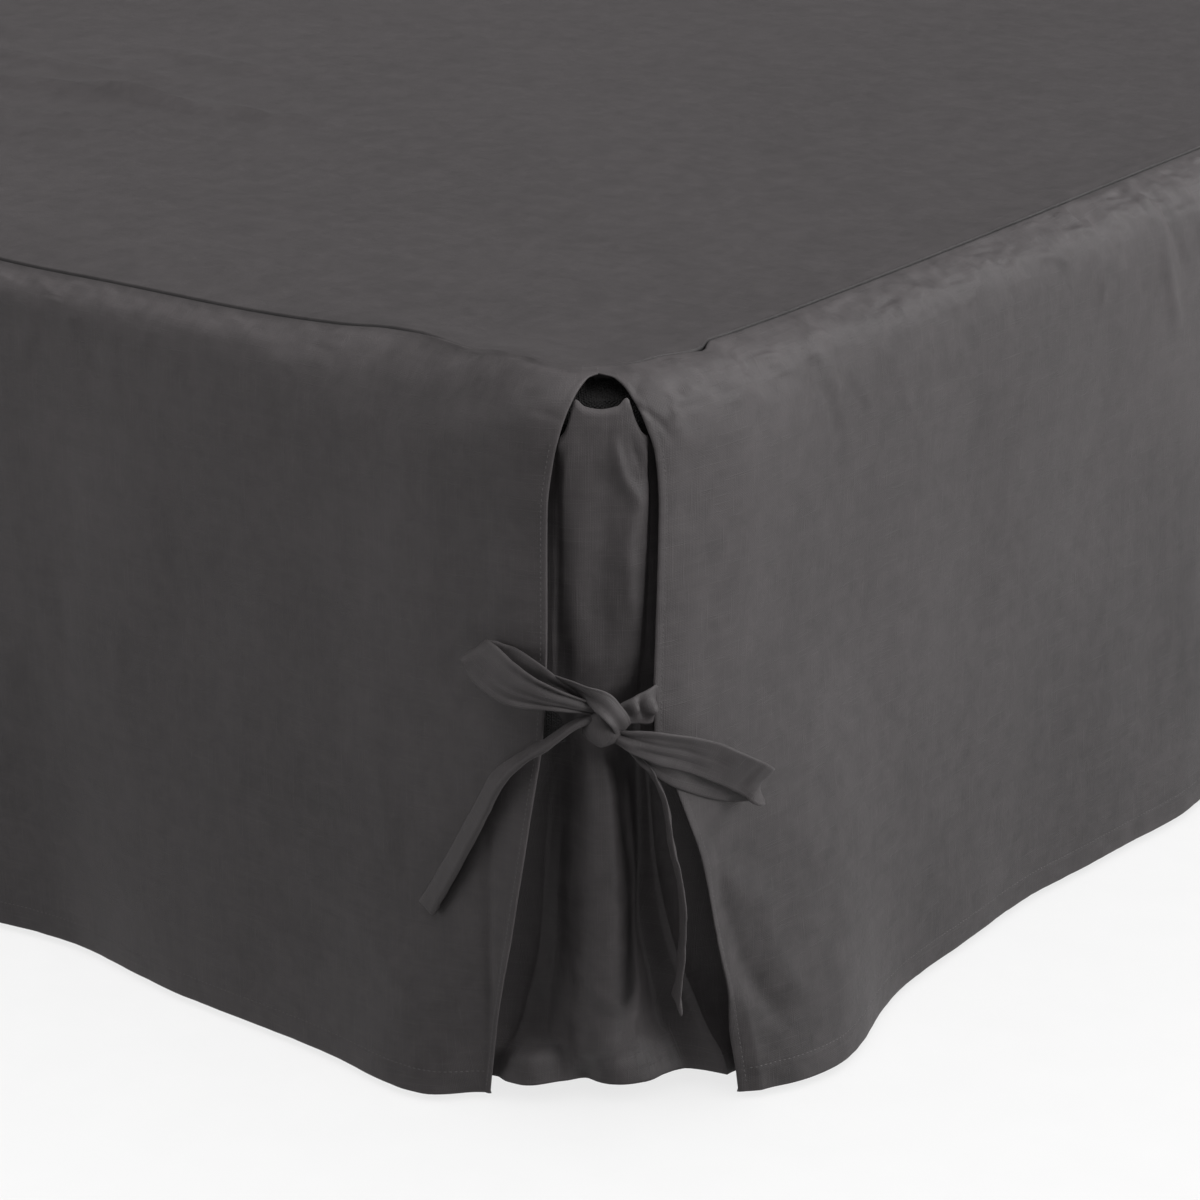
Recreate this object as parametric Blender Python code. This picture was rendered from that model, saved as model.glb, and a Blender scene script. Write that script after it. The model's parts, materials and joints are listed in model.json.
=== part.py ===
"""Linen cover fitted over a bed base.

A flat top panel is sewn all round to four skirts that hang to the floor. At each corner the two skirts leave
a slit, an insert hangs behind it, and two ties sewn to the slit's edges are knotted into a bow. The base and
its four legs carry the cover. Metres, +Z up, origin on the floor under the middle. The foot end faces -Y.
"""

import math

import bmesh
import bpy
from mathutils import Matrix, Vector

MM = 0.001

# Bed base: 140 by 190 cm
BASE_WIDTH = 1.400
BASE_LENGTH = 1.900
BASE_UNDERSIDE = 0.200
BASE_CORNER_RADIUS = 0.085
BASE_TOP_EDGE_RADIUS = 0.022
BASE_BOTTOM_EDGE = 0.004
LEG_TOP_RADIUS = 0.028
LEG_FOOT_RADIUS = 0.021
LEG_INSET = 0.150
LEG_SIDES = 16

# Edges that turn more than this are shaded sharp
SHARP_ANGLE = math.radians(40)

# Cover
SEAM_INSET = 0.013
HALF_WIDTH = BASE_WIDTH / 2 - SEAM_INSET
HALF_LENGTH = BASE_LENGTH / 2 - SEAM_INSET
DROP = 0.380
HEM_CLEARANCE = 0.004
SEAM_HEIGHT = DROP + HEM_CLEARANCE
CORNER_RADIUS = 0.050
ROLL_RADIUS = 0.020
SHEET = 0.002
GAP = 0.0003

# Corner insert
INSERT_SHEET = 0.0018
INSERT_HEM_ENDS = 8
INSERT_HEM_MIDDLE = 13

# Ties: ribbon 20 mm wide, narrower where it is gathered into the knot. Millimetres.
TIE_SHEET = 1.5
KNOT_CENTRE = (2.0, 22.5, 219.5)
KNOT_RADII = (9.5, 7.5, 10.5)
KNOT_SEGMENTS = 12
KNOT_RINGS = 8
CORE_RADIUS = 4.2
CORE_SIDES = 12
CORE_START = 3.0
CORE_END = 17.5
CORE_BELOW_KNOT_CENTRE = 2
STEPS_BETWEEN_ROWS = 2

# Path from the middle of a rounded corner to the start of its straight side
CORNER_PATH = CORNER_RADIUS * math.pi / 4

# A skirt's columns of points are laid out as if its slit edge stood this far from the middle of the corner at
# every height. The edge then takes its own place, and draws the columns along within this reach.
NOMINAL_EDGE = 0.020
EDGE_REACH = 0.200

# Distances from a slit's edge to the columns of points beside it, and the widest column between them
EDGE_COLUMNS = (0, 8, 18, 32, 52, 80, 120, 170)
COLUMN_WIDTH = 0.078

# Rows of points down a skirt: degrees round the rolled top edge, then millimetres above the hem
ROLL_DEGREES = (0, 30, 60, 90)
HANGING_ROWS = (344, 320, 252, 210, 170, 130, 85, 42, 0)

# Edge of a slit, by height above the hem: how far it stands from the middle of the corner along the seam, and
# how far it hangs outside the seam line. Right end of a skirt first, then left end. Millimetres.
RIGHT_END_EDGE = (
    # height, from_middle, outside
    (380, 0.5, 20),
    (377.3, 6.0, 20),
    (370, 10.5, 20),
    (360, 13.5, 20),
    (344, 16.3, 20),
    (320, 18.4, 20),
    (252, 18.8, 20),
    (210, 20.2, 20),
    (170, 24.8, 18.5),
    (130, 30.0, 17),
    (85, 37.0, 14.5),
    (42, 47.0, 10),
    (0, 52.5, 4),
)
LEFT_END_EDGE = (
    # height, from_middle, outside
    (380, 0.5, 20),
    (377.3, 7.5, 20),
    (370, 11.8, 20),
    (360, 14.5, 20),
    (344, 18.1, 20),
    (320, 19.6, 20),
    (252, 18.6, 20),
    (210, 17.4, 21),
    (170, 27.5, 22.5),
    (130, 38.0, 26),
    (85, 52.5, 31),
    (42, 59.5, 37),
    (0, 61.5, 41),
)

# Width over which a skirt turns in or out towards its slit edge: at the hem, and at the top
EDGE_TURN_AT_HEM = 16
EDGE_TURN_AT_TOP = 32

# The skirts lean out to the hem at their left end and hang plumb at their right end. The lean dies away
# between these distances from the left and the right end. It grows downwards, and so does a fold, by these
# powers.
LEAN_AT_HEM = 9
LEAN_FROM_LEFT_END = 500
LEAN_FROM_RIGHT_END = 200
LEAN_POWER = 1.5
FOLD_POWER = 1.4

# Folds of each skirt: the distance of the fold's crest from the sharp corner of the seam, how far it stands
# out at the hem (negative stands in), its half width, and the height where it starts. Millimetres.
FOLDS_FROM_LEFT = {
    # crest, reach, half_width, start
    "short": ((129, 23, 58, 220), (330, -3, 60, 200), (500, 9, 70, 190), (690, -6, 75, 170)),
    "long": (
        (129, 23, 58, 220),
        (330, -3, 60, 200),
        (500, 9, 70, 190),
        (700, -6, 80, 170),
        (870, 8, 75, 200),
        (1050, -7, 70, 180),
        (1220, 10, 80, 210),
    ),
}
FOLDS_FROM_RIGHT = {
    # crest, reach, half_width, start
    "short": ((113, 7, 38, 190), (355, -10, 55, 230), (520, 6, 70, 190)),
    "long": ((113, 7, 38, 190), (355, -10, 55, 230), (520, 7, 70, 190)),
}

# Corner insert: the height of its scooped top edge and how far it hangs outside the seam line, at these
# shares of the slit's width
INSERT_SHARES = (0, 0.15, 0.32, 0.5, 0.68, 0.85, 1)
INSERT_TOP_EDGE = (344, 368, 364.5, 363, 364.5, 368, 344)
INSERT_SECTIONS = (
    # height, then the seven shares
    (367, (14.5, 12.5, 14.0, 13.0, 14.5, 12.5, 14.5)),
    (336, (14.0, 15.0, 16.0, 15.0, 16.5, 16.0, 15.0)),
    (252, (11.5, 14.0, 14.5, 12.5, 14.5, 15.0, 12.5)),
    (210, (11.3, 11.8, 12.0, 11.8, 12.0, 11.8, 11.5)),
    (170, (9.0, 9.5, 13.0, 14.0, 12.5, 9.5, 10.0)),
    (130, (4.0, 3.0, 9.5, 13.0, 9.0, 2.0, 8.0)),
    (85, (1.0, -3.0, 3.0, 8.0, 4.0, -3.0, 9.0)),
    (42, (0.0, -4.0, -3.0, 0.0, 1.0, -2.0, 16.0)),
    (0, (-1.0, -1.0, -7.0, -10.0, -3.0, 1.0, 27.0)),
)
INSERT_ROWS = (336, 320, 252, 210, 170, 130, 85, 42)
WING_COLUMNS = (0, 8, 18, 32, 52)

# Behind a skirt the insert comes out to lie close against it: within this far of the slit, beside the base
# and at the hem
WING_RETURN_AT_BASE = 26
WING_RETURN_AT_HEM = 60

# Bow, seen from outside the corner. Each row is a point of the ribbon's middle line: across to the right,
# out from the seam's rounded corner, up from the hem, then the direction of its width and the width.
RIGHT_LEAD_ROWS = (
    # across, out, up, width_across, width_out, width_up, width
    (20.0, 18.8, 223.0, 0.0, 0.05, 1.0, 16),
    (17.2, 20.6, 221.5, 0.1, -0.3, 1.0, 12),
    (15.2, 21.5, 220.3, 0.1, -0.3, 1.0, 8),
)
RIGHT_LOOP_ROWS = (
    # across, out, up, width_across, width_out, width_up, width
    (14.8, 24.2, 217.5, 0.35, 0.1, 0.94, 6),
    (21.0, 26.5, 212.0, 0.40, 0.1, 0.90, 12),
    (29.0, 26.5, 204.0, 0.45, 0.1, 0.88, 17),
    (46.6, 20.5, 192.0, 0.45, 0.1, 0.88, 20),
    (64.6, 12.5, 182.0, 0.42, 0.1, 0.90, 20),
    (77.0, 4.0, 174.5, 0.35, 0.2, 0.93, 20),
    (81.5, -5.0, 171.0, 0.30, 0.3, 0.92, 20),
    (75.5, -10.5, 171.0, 0.35, 0.2, 0.93, 20),
    (62.0, -0.5, 176.0, 0.42, 0.1, 0.90, 20),
    (45.5, 13.0, 184.0, 0.45, 0.1, 0.88, 18),
    (29.5, 19.0, 194.5, 0.45, 0.1, 0.88, 12),
    (19.5, 20.3, 207.0, 0.45, 0.1, 0.88, 7),
    (15.0, 20.5, 215.5, 0.45, 0.1, 0.88, 5),
)
RIGHT_TAIL_ROWS = (
    # across, out, up, width_across, width_out, width_up, width
    (15.2, 22.8, 216.0, 0.3, 1.0, 0.0, 5),
    (16.8, 23.5, 206.0, 0.3, 1.0, 0.0, 6),
    (20.5, 21.5, 193.5, 0.25, 1.0, 0.0, 9),
    (27.0, 19.0, 180.0, 0.25, 1.0, 0.0, 13),
    (33.5, 15.0, 156.0, 0.2, 1.0, 0.0, 16),
    (38.3, 11.0, 128.0, 0.1, 1.0, 0.0, 18),
    (41.0, 8.0, 96.0, 0.05, 1.0, 0.0, 20),
    (40.5, 5.0, 58.0, 0.2, 1.0, 0.0, 20),
)
LEFT_LEAD_ROWS = (
    # across, out, up, width_across, width_out, width_up, width
    (-17.0, 20.5, 235.0, 0.3, 0.5, 0.85, 12),
    (-10.0, 23.0, 230.5, 0.3, 0.7, 0.70, 9),
    (-3.0, 23.5, 225.0, 0.3, 0.7, 0.70, 8),
)
LEFT_LOOP_ROWS = (
    # across, out, up, width_across, width_out, width_up, width
    (-2.0, 25.5, 221.0, 0.15, 0.1, 0.98, 7),
    (-10.0, 28.0, 224.0, 0.20, 0.1, 0.97, 12),
    (-20.7, 27.0, 230.0, 0.25, 0.1, 0.96, 17),
    (-36.4, 21.5, 235.5, 0.30, 0.1, 0.95, 20),
    (-50.0, 15.0, 241.0, 0.30, 0.1, 0.95, 20),
    (-61.0, 7.0, 245.5, 0.25, 0.2, 0.95, 20),
    (-66.5, -2.0, 247.5, 0.20, 0.3, 0.93, 20),
    (-61.0, -5.0, 248.0, 0.25, 0.2, 0.95, 20),
    (-50.0, 4.0, 245.5, 0.30, 0.1, 0.95, 19),
    (-37.0, 14.0, 240.0, 0.35, 0.1, 0.93, 15),
    (-23.0, 19.7, 231.5, 0.40, 0.1, 0.90, 9),
    (-11.0, 19.5, 222.5, 0.40, 0.1, 0.90, 6),
    (-2.0, 20.5, 219.0, 0.40, 0.1, 0.90, 6),
)
LEFT_TAIL_ROWS = (
    # across, out, up, width_across, width_out, width_up, width
    (-1.0, 22.5, 215.5, 0.4, 0.8, 0.2, 6),
    (-9.0, 25.0, 214.0, 0.4, 0.8, 0.2, 7),
    (-18.0, 26.5, 209.5, 0.4, 0.8, 0.1, 9),
    (-28.0, 22.0, 200.5, 0.4, 0.8, 0.0, 12),
    (-39.5, 15.5, 188.5, 0.5, 0.7, -0.2, 15),
    (-49.5, 9.0, 174.0, 0.5, 0.6, -0.35, 17),
    (-63.0, -2.5, 150.0, 0.55, 0.55, -0.55, 19),
    (-76.5, -16.5, 123.0, 0.55, 0.55, -0.6, 20),
    (-83.0, -23.0, 111.0, 0.55, 0.55, -0.6, 20),
)

# Height of the middle of each tie's sewn end
LEFT_SEAT_HEIGHT = 238
RIGHT_SEAT_HEIGHT = 223
SEAT_WIDTH = 19

# Wrap of ribbon round the knot
BAND_RADII = (11.2, 9.0)
BAND_TILT = math.radians(-52)
BAND_WIDTH = 8
BAND_SHEET = 2.4
BAND_STEPS = 16

SIDES = (
    # name, half length of the seam, distance of the seam from the middle, turn about Z, table of folds
    ("skirt_foot", HALF_WIDTH, HALF_LENGTH, 0, "short"),
    ("skirt_right", HALF_LENGTH, HALF_WIDTH, 90, "long"),
    ("skirt_head", HALF_WIDTH, HALF_LENGTH, 180, "short"),
    ("skirt_left", HALF_LENGTH, HALF_WIDTH, 270, "long"),
)
CORNERS = ("foot_right", "head_right", "head_left", "foot_left")


def clear_scene():
    for old in list(bpy.data.objects):
        bpy.data.objects.remove(old, do_unlink=True)


def cloth_material(name, color, roughness=0.92):
    return plain_material(name, color, roughness, 0.0)


def plain_material(name, color, roughness, metallic):
    material = bpy.data.materials.new(name)
    material.use_nodes = True
    shader = material.node_tree.nodes["Principled BSDF"]
    shader.inputs["Base Color"].default_value = (*color, 1.0)
    shader.inputs["Roughness"].default_value = roughness
    shader.inputs["Metallic"].default_value = metallic
    material.diffuse_color = (*color, 1.0)
    return material


def object_from(name, bm, material):
    """A new object from a bmesh, its faces turned outwards and shaded smooth but for its sharp edges."""
    bmesh.ops.recalc_face_normals(bm, faces=bm.faces)
    mesh = bpy.data.meshes.new(name)
    bm.to_mesh(mesh)
    bm.free()
    mesh.shade_smooth()
    mesh.set_sharp_from_angle(angle=SHARP_ANGLE)
    mesh.materials.append(material)
    obj = bpy.data.objects.new(name, mesh)
    bpy.context.scene.collection.objects.link(obj)
    return obj


def copy_of(obj, name, turn):
    """Another object with the same mesh, turned about Z."""
    twin = bpy.data.objects.new(name, obj.data)
    twin.rotation_euler = (0, 0, turn)
    bpy.context.scene.collection.objects.link(twin)
    return twin


def between(low, high, share):
    return low + (high - low) * share


def smooth(share):
    share = min(max(share, 0.0), 1.0)
    return share * share * (3 - 2 * share)


def read_table(rows, height, column):
    """Straight reading between the rows of a table whose first column falls."""
    if height >= rows[0][0]:
        return rows[0][column]
    for upper, lower in zip(rows, rows[1:]):
        if height >= lower[0]:
            share = (upper[0] - height) / (upper[0] - lower[0])
            return between(upper[column], lower[column], share)
    return rows[-1][column]


# Skirts


def on_side(half_along, half_out, along, outside, height):
    """Point over the seam's path: along it from the side's middle, outside it, and up from the hem."""
    straight = half_along - CORNER_RADIUS
    past = abs(along) - straight
    if past <= 0:
        x = along
        y = half_out + outside
    else:
        angle = past / CORNER_RADIUS
        x = math.copysign(straight + (CORNER_RADIUS + outside) * math.sin(angle), along)
        y = half_out - CORNER_RADIUS + (CORNER_RADIUS + outside) * math.cos(angle)
    return Vector((x, -y, HEM_CLEARANCE + height))


def fold_reach(along, half_along, height_mm, folds):
    """How far the hanging cloth stands outside its roll here, in millimetres, from its lean and its folds."""
    from_left = (along + half_along) / MM
    from_right = (half_along - along) / MM
    down = 1 - height_mm / (DROP / MM)
    lean_length = 2 * half_along / MM - LEAN_FROM_LEFT_END - LEAN_FROM_RIGHT_END
    lean_share = 1 - smooth((from_left - LEAN_FROM_LEFT_END) / lean_length)
    total = LEAN_AT_HEM * lean_share * down**LEAN_POWER
    for distance, table in ((from_left, FOLDS_FROM_LEFT), (from_right, FOLDS_FROM_RIGHT)):
        for crest, reach, half_width, start in table[folds]:
            growth = max(1 - height_mm / start, 0.0) ** FOLD_POWER
            total += reach * growth * math.exp(-(((distance - crest) / half_width) ** 2))
    return total


def hang_outside(along, half_along, height_mm, folds):
    """Distance of the hanging cloth's outer face from the seam line, in millimetres."""
    left_from_edge = along + half_along - CORNER_RADIUS + CORNER_PATH
    right_from_edge = half_along - CORNER_RADIUS + CORNER_PATH - along
    turn = between(EDGE_TURN_AT_HEM, EDGE_TURN_AT_TOP, height_mm / (DROP / MM))
    free = ROLL_RADIUS / MM + fold_reach(along, half_along, height_mm, folds)
    total = free
    for distance, table in ((left_from_edge, LEFT_END_EDGE), (right_from_edge, RIGHT_END_EDGE)):
        inside = distance / MM - read_table(table, height_mm, 1)
        weight = math.exp(-((inside / turn) ** 2))
        total += (read_table(table, height_mm, 2) - free) * weight
    return total


def skirt_columns(half_along):
    """Places along a skirt, from its left slit edge to its right, before the edges take their own shape."""
    end = half_along - CORNER_RADIUS + CORNER_PATH - NOMINAL_EDGE
    near = [step * MM for step in EDGE_COLUMNS]
    span = 2 * (end - near[-1])
    steps = math.ceil(span / COLUMN_WIDTH)
    middle = [-span / 2 + span * i / steps for i in range(1, steps)]
    return [-end + step for step in near] + middle + [end - step for step in reversed(near)]


def shifted(along, half_along, height_mm):
    """The column's place at this height: the nearer slit edge draws it along."""
    end = half_along - CORNER_RADIUS + CORNER_PATH - NOMINAL_EDGE
    table = LEFT_END_EDGE if along < 0 else RIGHT_END_EDGE
    shift = read_table(table, height_mm, 1) * MM - NOMINAL_EDGE
    pull = 1 - smooth((end - abs(along)) / EDGE_REACH)
    return along - shift * pull * (-1 if along < 0 else 1)


def skirt_point(along, half_along, half_out, row, folds, depth):
    """Point of a skirt at this row, this deep in its sheet. A row is a roll angle or a height."""
    kind, value = row
    if kind == "roll":
        angle = math.radians(value)
        radius = ROLL_RADIUS - depth
        outside = radius * math.sin(angle)
        height = DROP - ROLL_RADIUS + radius * math.cos(angle)
        edge_height = (DROP - ROLL_RADIUS * (1 - math.cos(angle))) / MM
        if value == 0:
            outside = GAP / 2
        return on_side(half_along, half_out, shifted(along, half_along, edge_height), outside, height)
    place = shifted(along, half_along, value)
    outside = hang_outside(place, half_along, value, folds) * MM - depth
    return on_side(half_along, half_out, place, outside, value * MM)


def skirt_rows():
    return [("roll", angle) for angle in ROLL_DEGREES] + [("hang", height) for height in HANGING_ROWS]


def sheet_solid(bm, outer, inner):
    """Closed sheet between two grids of points, with the same diagonals on both faces."""
    faces = [[bm.verts.new(point) for point in row] for row in outer]
    backs = [[bm.verts.new(point) for point in row] for row in inner]
    last_row = len(faces) - 1
    last_column = len(faces[0]) - 1
    for i in range(last_row):
        for j in range(last_column):
            for grid in (faces, backs):
                a, b, c, d = grid[i][j], grid[i + 1][j], grid[i + 1][j + 1], grid[i][j + 1]
                bm.faces.new((a, b, c))
                bm.faces.new((a, c, d))
    for i in range(last_row):
        for j in (0, last_column):
            bm.faces.new((faces[i][j], faces[i + 1][j], backs[i + 1][j], backs[i][j]))
    for j in range(last_column):
        for i in (0, last_row):
            bm.faces.new((faces[i][j], faces[i][j + 1], backs[i][j + 1], backs[i][j]))


def make_skirt(name, half_along, half_out, folds, material):
    columns = skirt_columns(half_along)
    grids = [
        [
            [skirt_point(along, half_along, half_out, row, folds, depth) for along in columns]
            for row in skirt_rows()
        ]
        for depth in (0.0, SHEET)
    ]
    bm = bmesh.new()
    sheet_solid(bm, *grids)
    return object_from(name, bm, material)


def make_skirts(material):
    made = {}
    for name, half_along, half_out, degrees, folds in SIDES:
        turn = math.radians(degrees)
        if folds in made:
            copy_of(made[folds], name, turn)
            continue
        skirt = make_skirt(name, half_along, half_out, folds, material)
        skirt.rotation_euler = (0, 0, turn)
        made[folds] = skirt


# Top panel


def make_top_panel(material):
    """Flat sheet whose rim follows the seam's own points, a small gap inside them."""
    rim = []
    for _, half_along, half_out, degrees, _ in SIDES:
        turn = Matrix.Rotation(math.radians(degrees), 3, "Z")
        for along in skirt_columns(half_along):
            place = shifted(along, half_along, DROP / MM)
            rim.append(turn @ on_side(half_along, half_out, place, -GAP / 2, DROP))
    bm = bmesh.new()
    upper = [bm.verts.new(point) for point in rim]
    lower = [bm.verts.new(point - Vector((0, 0, SHEET))) for point in rim]
    bm.faces.new(upper)
    bm.faces.new(reversed(lower))
    for i in range(len(rim)):
        j = (i + 1) % len(rim)
        bm.faces.new((upper[i], lower[i], lower[j], upper[j]))
    return object_from("top_panel", bm, material)


# Corner inserts


def corner_point(distance, outside, height_mm):
    """Point near the foot's right corner: along the seam from the corner's middle, negative to the left."""
    if distance < 0:
        along = HALF_WIDTH - CORNER_RADIUS + CORNER_PATH + distance
        return on_side(HALF_WIDTH, HALF_LENGTH, along, outside, height_mm * MM)
    along = -(HALF_LENGTH - CORNER_RADIUS + CORNER_PATH) + distance
    turn = Matrix.Rotation(math.radians(90), 3, "Z")
    return turn @ on_side(HALF_LENGTH, HALF_WIDTH, along, outside, height_mm * MM)


def section_outside(height_mm, column):
    rows = [(height, outsides[column]) for height, outsides in INSERT_SECTIONS]
    return read_table(rows, height_mm, 1)


def insert_height(column, row):
    """Height of a row of the insert: its top edge and its hem bend, the rows between are level."""
    share = INSERT_SHARES[column] if column is not None else 0.0
    if row == "top":
        return INSERT_TOP_EDGE[column or 0]
    if row == "hem":
        return between(INSERT_HEM_ENDS, INSERT_HEM_MIDDLE, math.sin(math.pi * share))
    return row


def wing_point(side, step, row, depth):
    """Point of the insert behind a skirt, this far past its slit edge, close to the skirt's inner face."""
    height = insert_height(None, row)
    half_along = HALF_WIDTH if side < 0 else HALF_LENGTH
    table = RIGHT_END_EDGE if side < 0 else LEFT_END_EDGE
    end = half_along - CORNER_RADIUS + CORNER_PATH - NOMINAL_EDGE
    along = -side * (end - step * MM)
    place = shifted(along, half_along, height)
    outside = hang_outside(place, half_along, height, "short") * MM - SHEET - GAP
    tuck = read_table(table, height, 2) * MM - SHEET - GAP
    own = section_outside(height, 0 if side < 0 else -1) * MM
    below_base = 1 - height * MM / (BASE_UNDERSIDE - HEM_CLEARANCE)
    reach = between(WING_RETURN_AT_BASE, WING_RETURN_AT_HEM, max(below_base, 0.0))
    weight = 1 - smooth(step / reach)
    outside += min(own - tuck, 0.0) * weight
    distance = half_along - CORNER_RADIUS + CORNER_PATH - abs(place)
    return corner_point(side * distance, outside - depth, height)


def slit_point(column, row, depth):
    """Point of the insert inside the slit."""
    height = insert_height(column, row)
    left = -read_table(RIGHT_END_EDGE, height, 1)
    right = read_table(LEFT_END_EDGE, height, 1)
    distance = between(left, right, INSERT_SHARES[column]) * MM
    outside = section_outside(height, column) * MM
    return corner_point(distance, outside - depth, height)


def make_insert_mesh(material):
    grids = []
    for depth in (0.0, INSERT_SHEET):
        grid = []
        for row in ("top", *INSERT_ROWS, "hem"):
            left = [wing_point(-1, step, row, depth) for step in reversed(WING_COLUMNS)]
            middle = [slit_point(column, row, depth) for column in range(1, len(INSERT_SHARES) - 1)]
            right = [wing_point(1, step, row, depth) for step in WING_COLUMNS]
            grid.append(left + middle + right)
        grids.append(grid)
    bm = bmesh.new()
    sheet_solid(bm, *grids)
    to_corner = Matrix.Translation((-HALF_WIDTH, HALF_LENGTH, 0))
    bmesh.ops.transform(bm, matrix=to_corner, verts=bm.verts)
    return object_from("corner_insert_" + CORNERS[0], bm, material)


def place_at_corners(first, stem):
    """The first object stands at the foot's right corner, and its copies at the other three."""
    for (_, half_along, half_out, degrees, _), corner in zip(SIDES, CORNERS):
        turn = math.radians(degrees)
        obj = first if corner == CORNERS[0] else copy_of(first, f"{stem}_{corner}", turn)
        obj.rotation_euler = (0, 0, turn)
        obj.location = Matrix.Rotation(turn, 3, "Z") @ Vector((half_along, -half_out, 0))


# Ties


def bow_point(across, out, up):
    """Point in the frame of the foot's right corner, from the bow's own directions. Millimetres in."""
    middle = CORNER_RADIUS * (1 - math.sqrt(0.5))
    right = Vector((1, 1, 0)).normalized()
    away = Vector((1, -1, 0)).normalized()
    start = Vector((-middle, middle, HEM_CLEARANCE))
    return start + (right * across + away * out + Vector((0, 0, up))) * MM


def bow_direction(across, out, up):
    return (bow_point(across, out, up) - bow_point(0, 0, 0)).normalized()


def through(rows, steps):
    """Rows with others between them, on a smooth curve through all of them."""
    finer = []
    for i in range(len(rows) - 1):
        before = rows[max(i - 1, 0)]
        after = rows[min(i + 2, len(rows) - 1)]
        for k in range(steps):
            t = k / steps
            finer.append(
                tuple(
                    0.5
                    * (
                        2 * q
                        + (r - p) * t
                        + (2 * p - 5 * q + 4 * r - s) * t * t
                        + (3 * q - p - 3 * r + s) * t**3
                    )
                    for p, q, r, s in zip(before, rows[i], rows[i + 1], after)
                )
            )
    finer.append(rows[-1])
    return finer


def ribbon_sections(rows, thickness):
    """Four corners of the ribbon at each row: middle line, width direction and width give them."""
    points = [bow_point(*row[:3]) for row in rows]
    sections = []
    for i, row in enumerate(rows):
        travel = (points[min(i + 1, len(rows) - 1)] - points[max(i - 1, 0)]).normalized()
        width = bow_direction(*row[3:6])
        width = (width - travel * width.dot(travel)).normalized() * row[6] / 2 * MM
        face = travel.cross(width).normalized() * thickness / 2 * MM
        middle = points[i]
        sections.append(
            [middle + width + face, middle + width - face, middle - width - face, middle - width + face]
        )
    return sections


def band_solid(sections, closed=False):
    """Closed solid through four-cornered sections, capped at its ends or joined into a ring."""
    bm = bmesh.new()
    rings = [[bm.verts.new(point) for point in section] for section in sections]
    pairs = list(zip(rings, rings[1:]))
    if closed:
        pairs.append((rings[-1], rings[0]))
    else:
        bm.faces.new(rings[0])
        bm.faces.new(rings[-1])
    for first, second in pairs:
        for k in range(4):
            bm.faces.new((first[k], first[(k + 1) % 4], second[(k + 1) % 4], second[k]))
    return bm


def seat_section(side):
    """The ribbon's sewn end: it stands a small gap off the slit's edge, in line with the skirt's sheet."""
    height = LEFT_SEAT_HEIGHT if side < 0 else RIGHT_SEAT_HEIGHT
    half_along = HALF_WIDTH if side < 0 else HALF_LENGTH
    table = RIGHT_END_EDGE if side < 0 else LEFT_END_EDGE
    inset = (SHEET - TIE_SHEET * MM) / 2
    corner = Vector((HALF_WIDTH, -HALF_LENGTH, 0))
    end = -side * (half_along - CORNER_RADIUS + CORNER_PATH - NOMINAL_EDGE)
    section = []
    for lift, depth in ((1, inset), (1, SHEET - inset), (-1, SHEET - inset), (-1, inset)):
        level = height + lift * SEAT_WIDTH / 2
        place = shifted(end, half_along, level)
        outside = hang_outside(place, half_along, level, "short") * MM - depth
        distance = read_table(table, level, 1) * MM - GAP * CORNER_RADIUS / (CORNER_RADIUS + outside)
        section.append(corner_point(side * distance, outside, level) - corner)
    return section


def lead_solid(side, rows):
    """Ribbon from the slit's edge to the knot."""
    seat = seat_section(side)
    return band_solid([seat] + aligned(seat, ribbon_sections(rows, TIE_SHEET)))


def aligned(seat, sections):
    """Sections with their corners in the seat's own order, nearest to nearest."""
    result = []
    last = seat
    for section in sections:
        orders = [section[k:] + section[:k] for k in range(4)]
        orders += [list(reversed(order)) for order in orders]
        best = min(orders, key=lambda order: sum((p - q).length for p, q in zip(order, last)))
        result.append(best)
        last = best
    return result


def knot_solid():
    bm = bmesh.new()
    bmesh.ops.create_uvsphere(bm, u_segments=KNOT_SEGMENTS, v_segments=KNOT_RINGS, radius=1.0)
    for vert in bm.verts:
        x, y, z = vert.co
        vert.co = bow_point(
            KNOT_CENTRE[0] + KNOT_RADII[0] * x,
            KNOT_CENTRE[1] - KNOT_RADII[1] * y,
            KNOT_CENTRE[2] + KNOT_RADII[2] * z,
        )
    return bm


def band_round_knot():
    """The wrap that shows on the knot's front, from its upper left to its lower right."""
    along = (math.cos(BAND_TILT), math.sin(BAND_TILT))
    across = (-along[1], along[0])
    sections = []
    for i in range(BAND_STEPS):
        turn = 2 * math.pi * i / BAND_STEPS
        section = []
        for lift, side in ((1, 1), (0, 1), (0, -1), (1, -1)):
            first = (BAND_RADII[0] + lift * BAND_SHEET - BAND_SHEET / 2) * math.cos(turn)
            second = (BAND_RADII[1] + lift * BAND_SHEET - BAND_SHEET / 2) * math.sin(turn)
            offset = side * BAND_WIDTH / 2
            section.append(
                bow_point(
                    KNOT_CENTRE[0] + first * along[0] + offset * across[0],
                    KNOT_CENTRE[1] + second,
                    KNOT_CENTRE[2] + first * along[1] + offset * across[1],
                )
            )
        sections.append(section)
    return band_solid(sections, closed=True)


def core_solid(radius, start, end):
    """Round core that the right tie pushes into the knot."""
    bm = bmesh.new()
    bmesh.ops.create_cone(
        bm,
        cap_ends=True,
        segments=CORE_SIDES,
        radius1=radius * MM,
        radius2=radius * MM,
        depth=(end - start) * MM,
    )
    right = bow_direction(1, 0, 0)
    turn = right.to_track_quat("Z", "Y").to_matrix().to_4x4()
    middle = bow_point((start + end) / 2, KNOT_CENTRE[1], KNOT_CENTRE[2] - CORE_BELOW_KNOT_CENTRE)
    bmesh.ops.transform(bm, matrix=Matrix.Translation(middle) @ turn, verts=bm.verts)
    return bm


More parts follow.
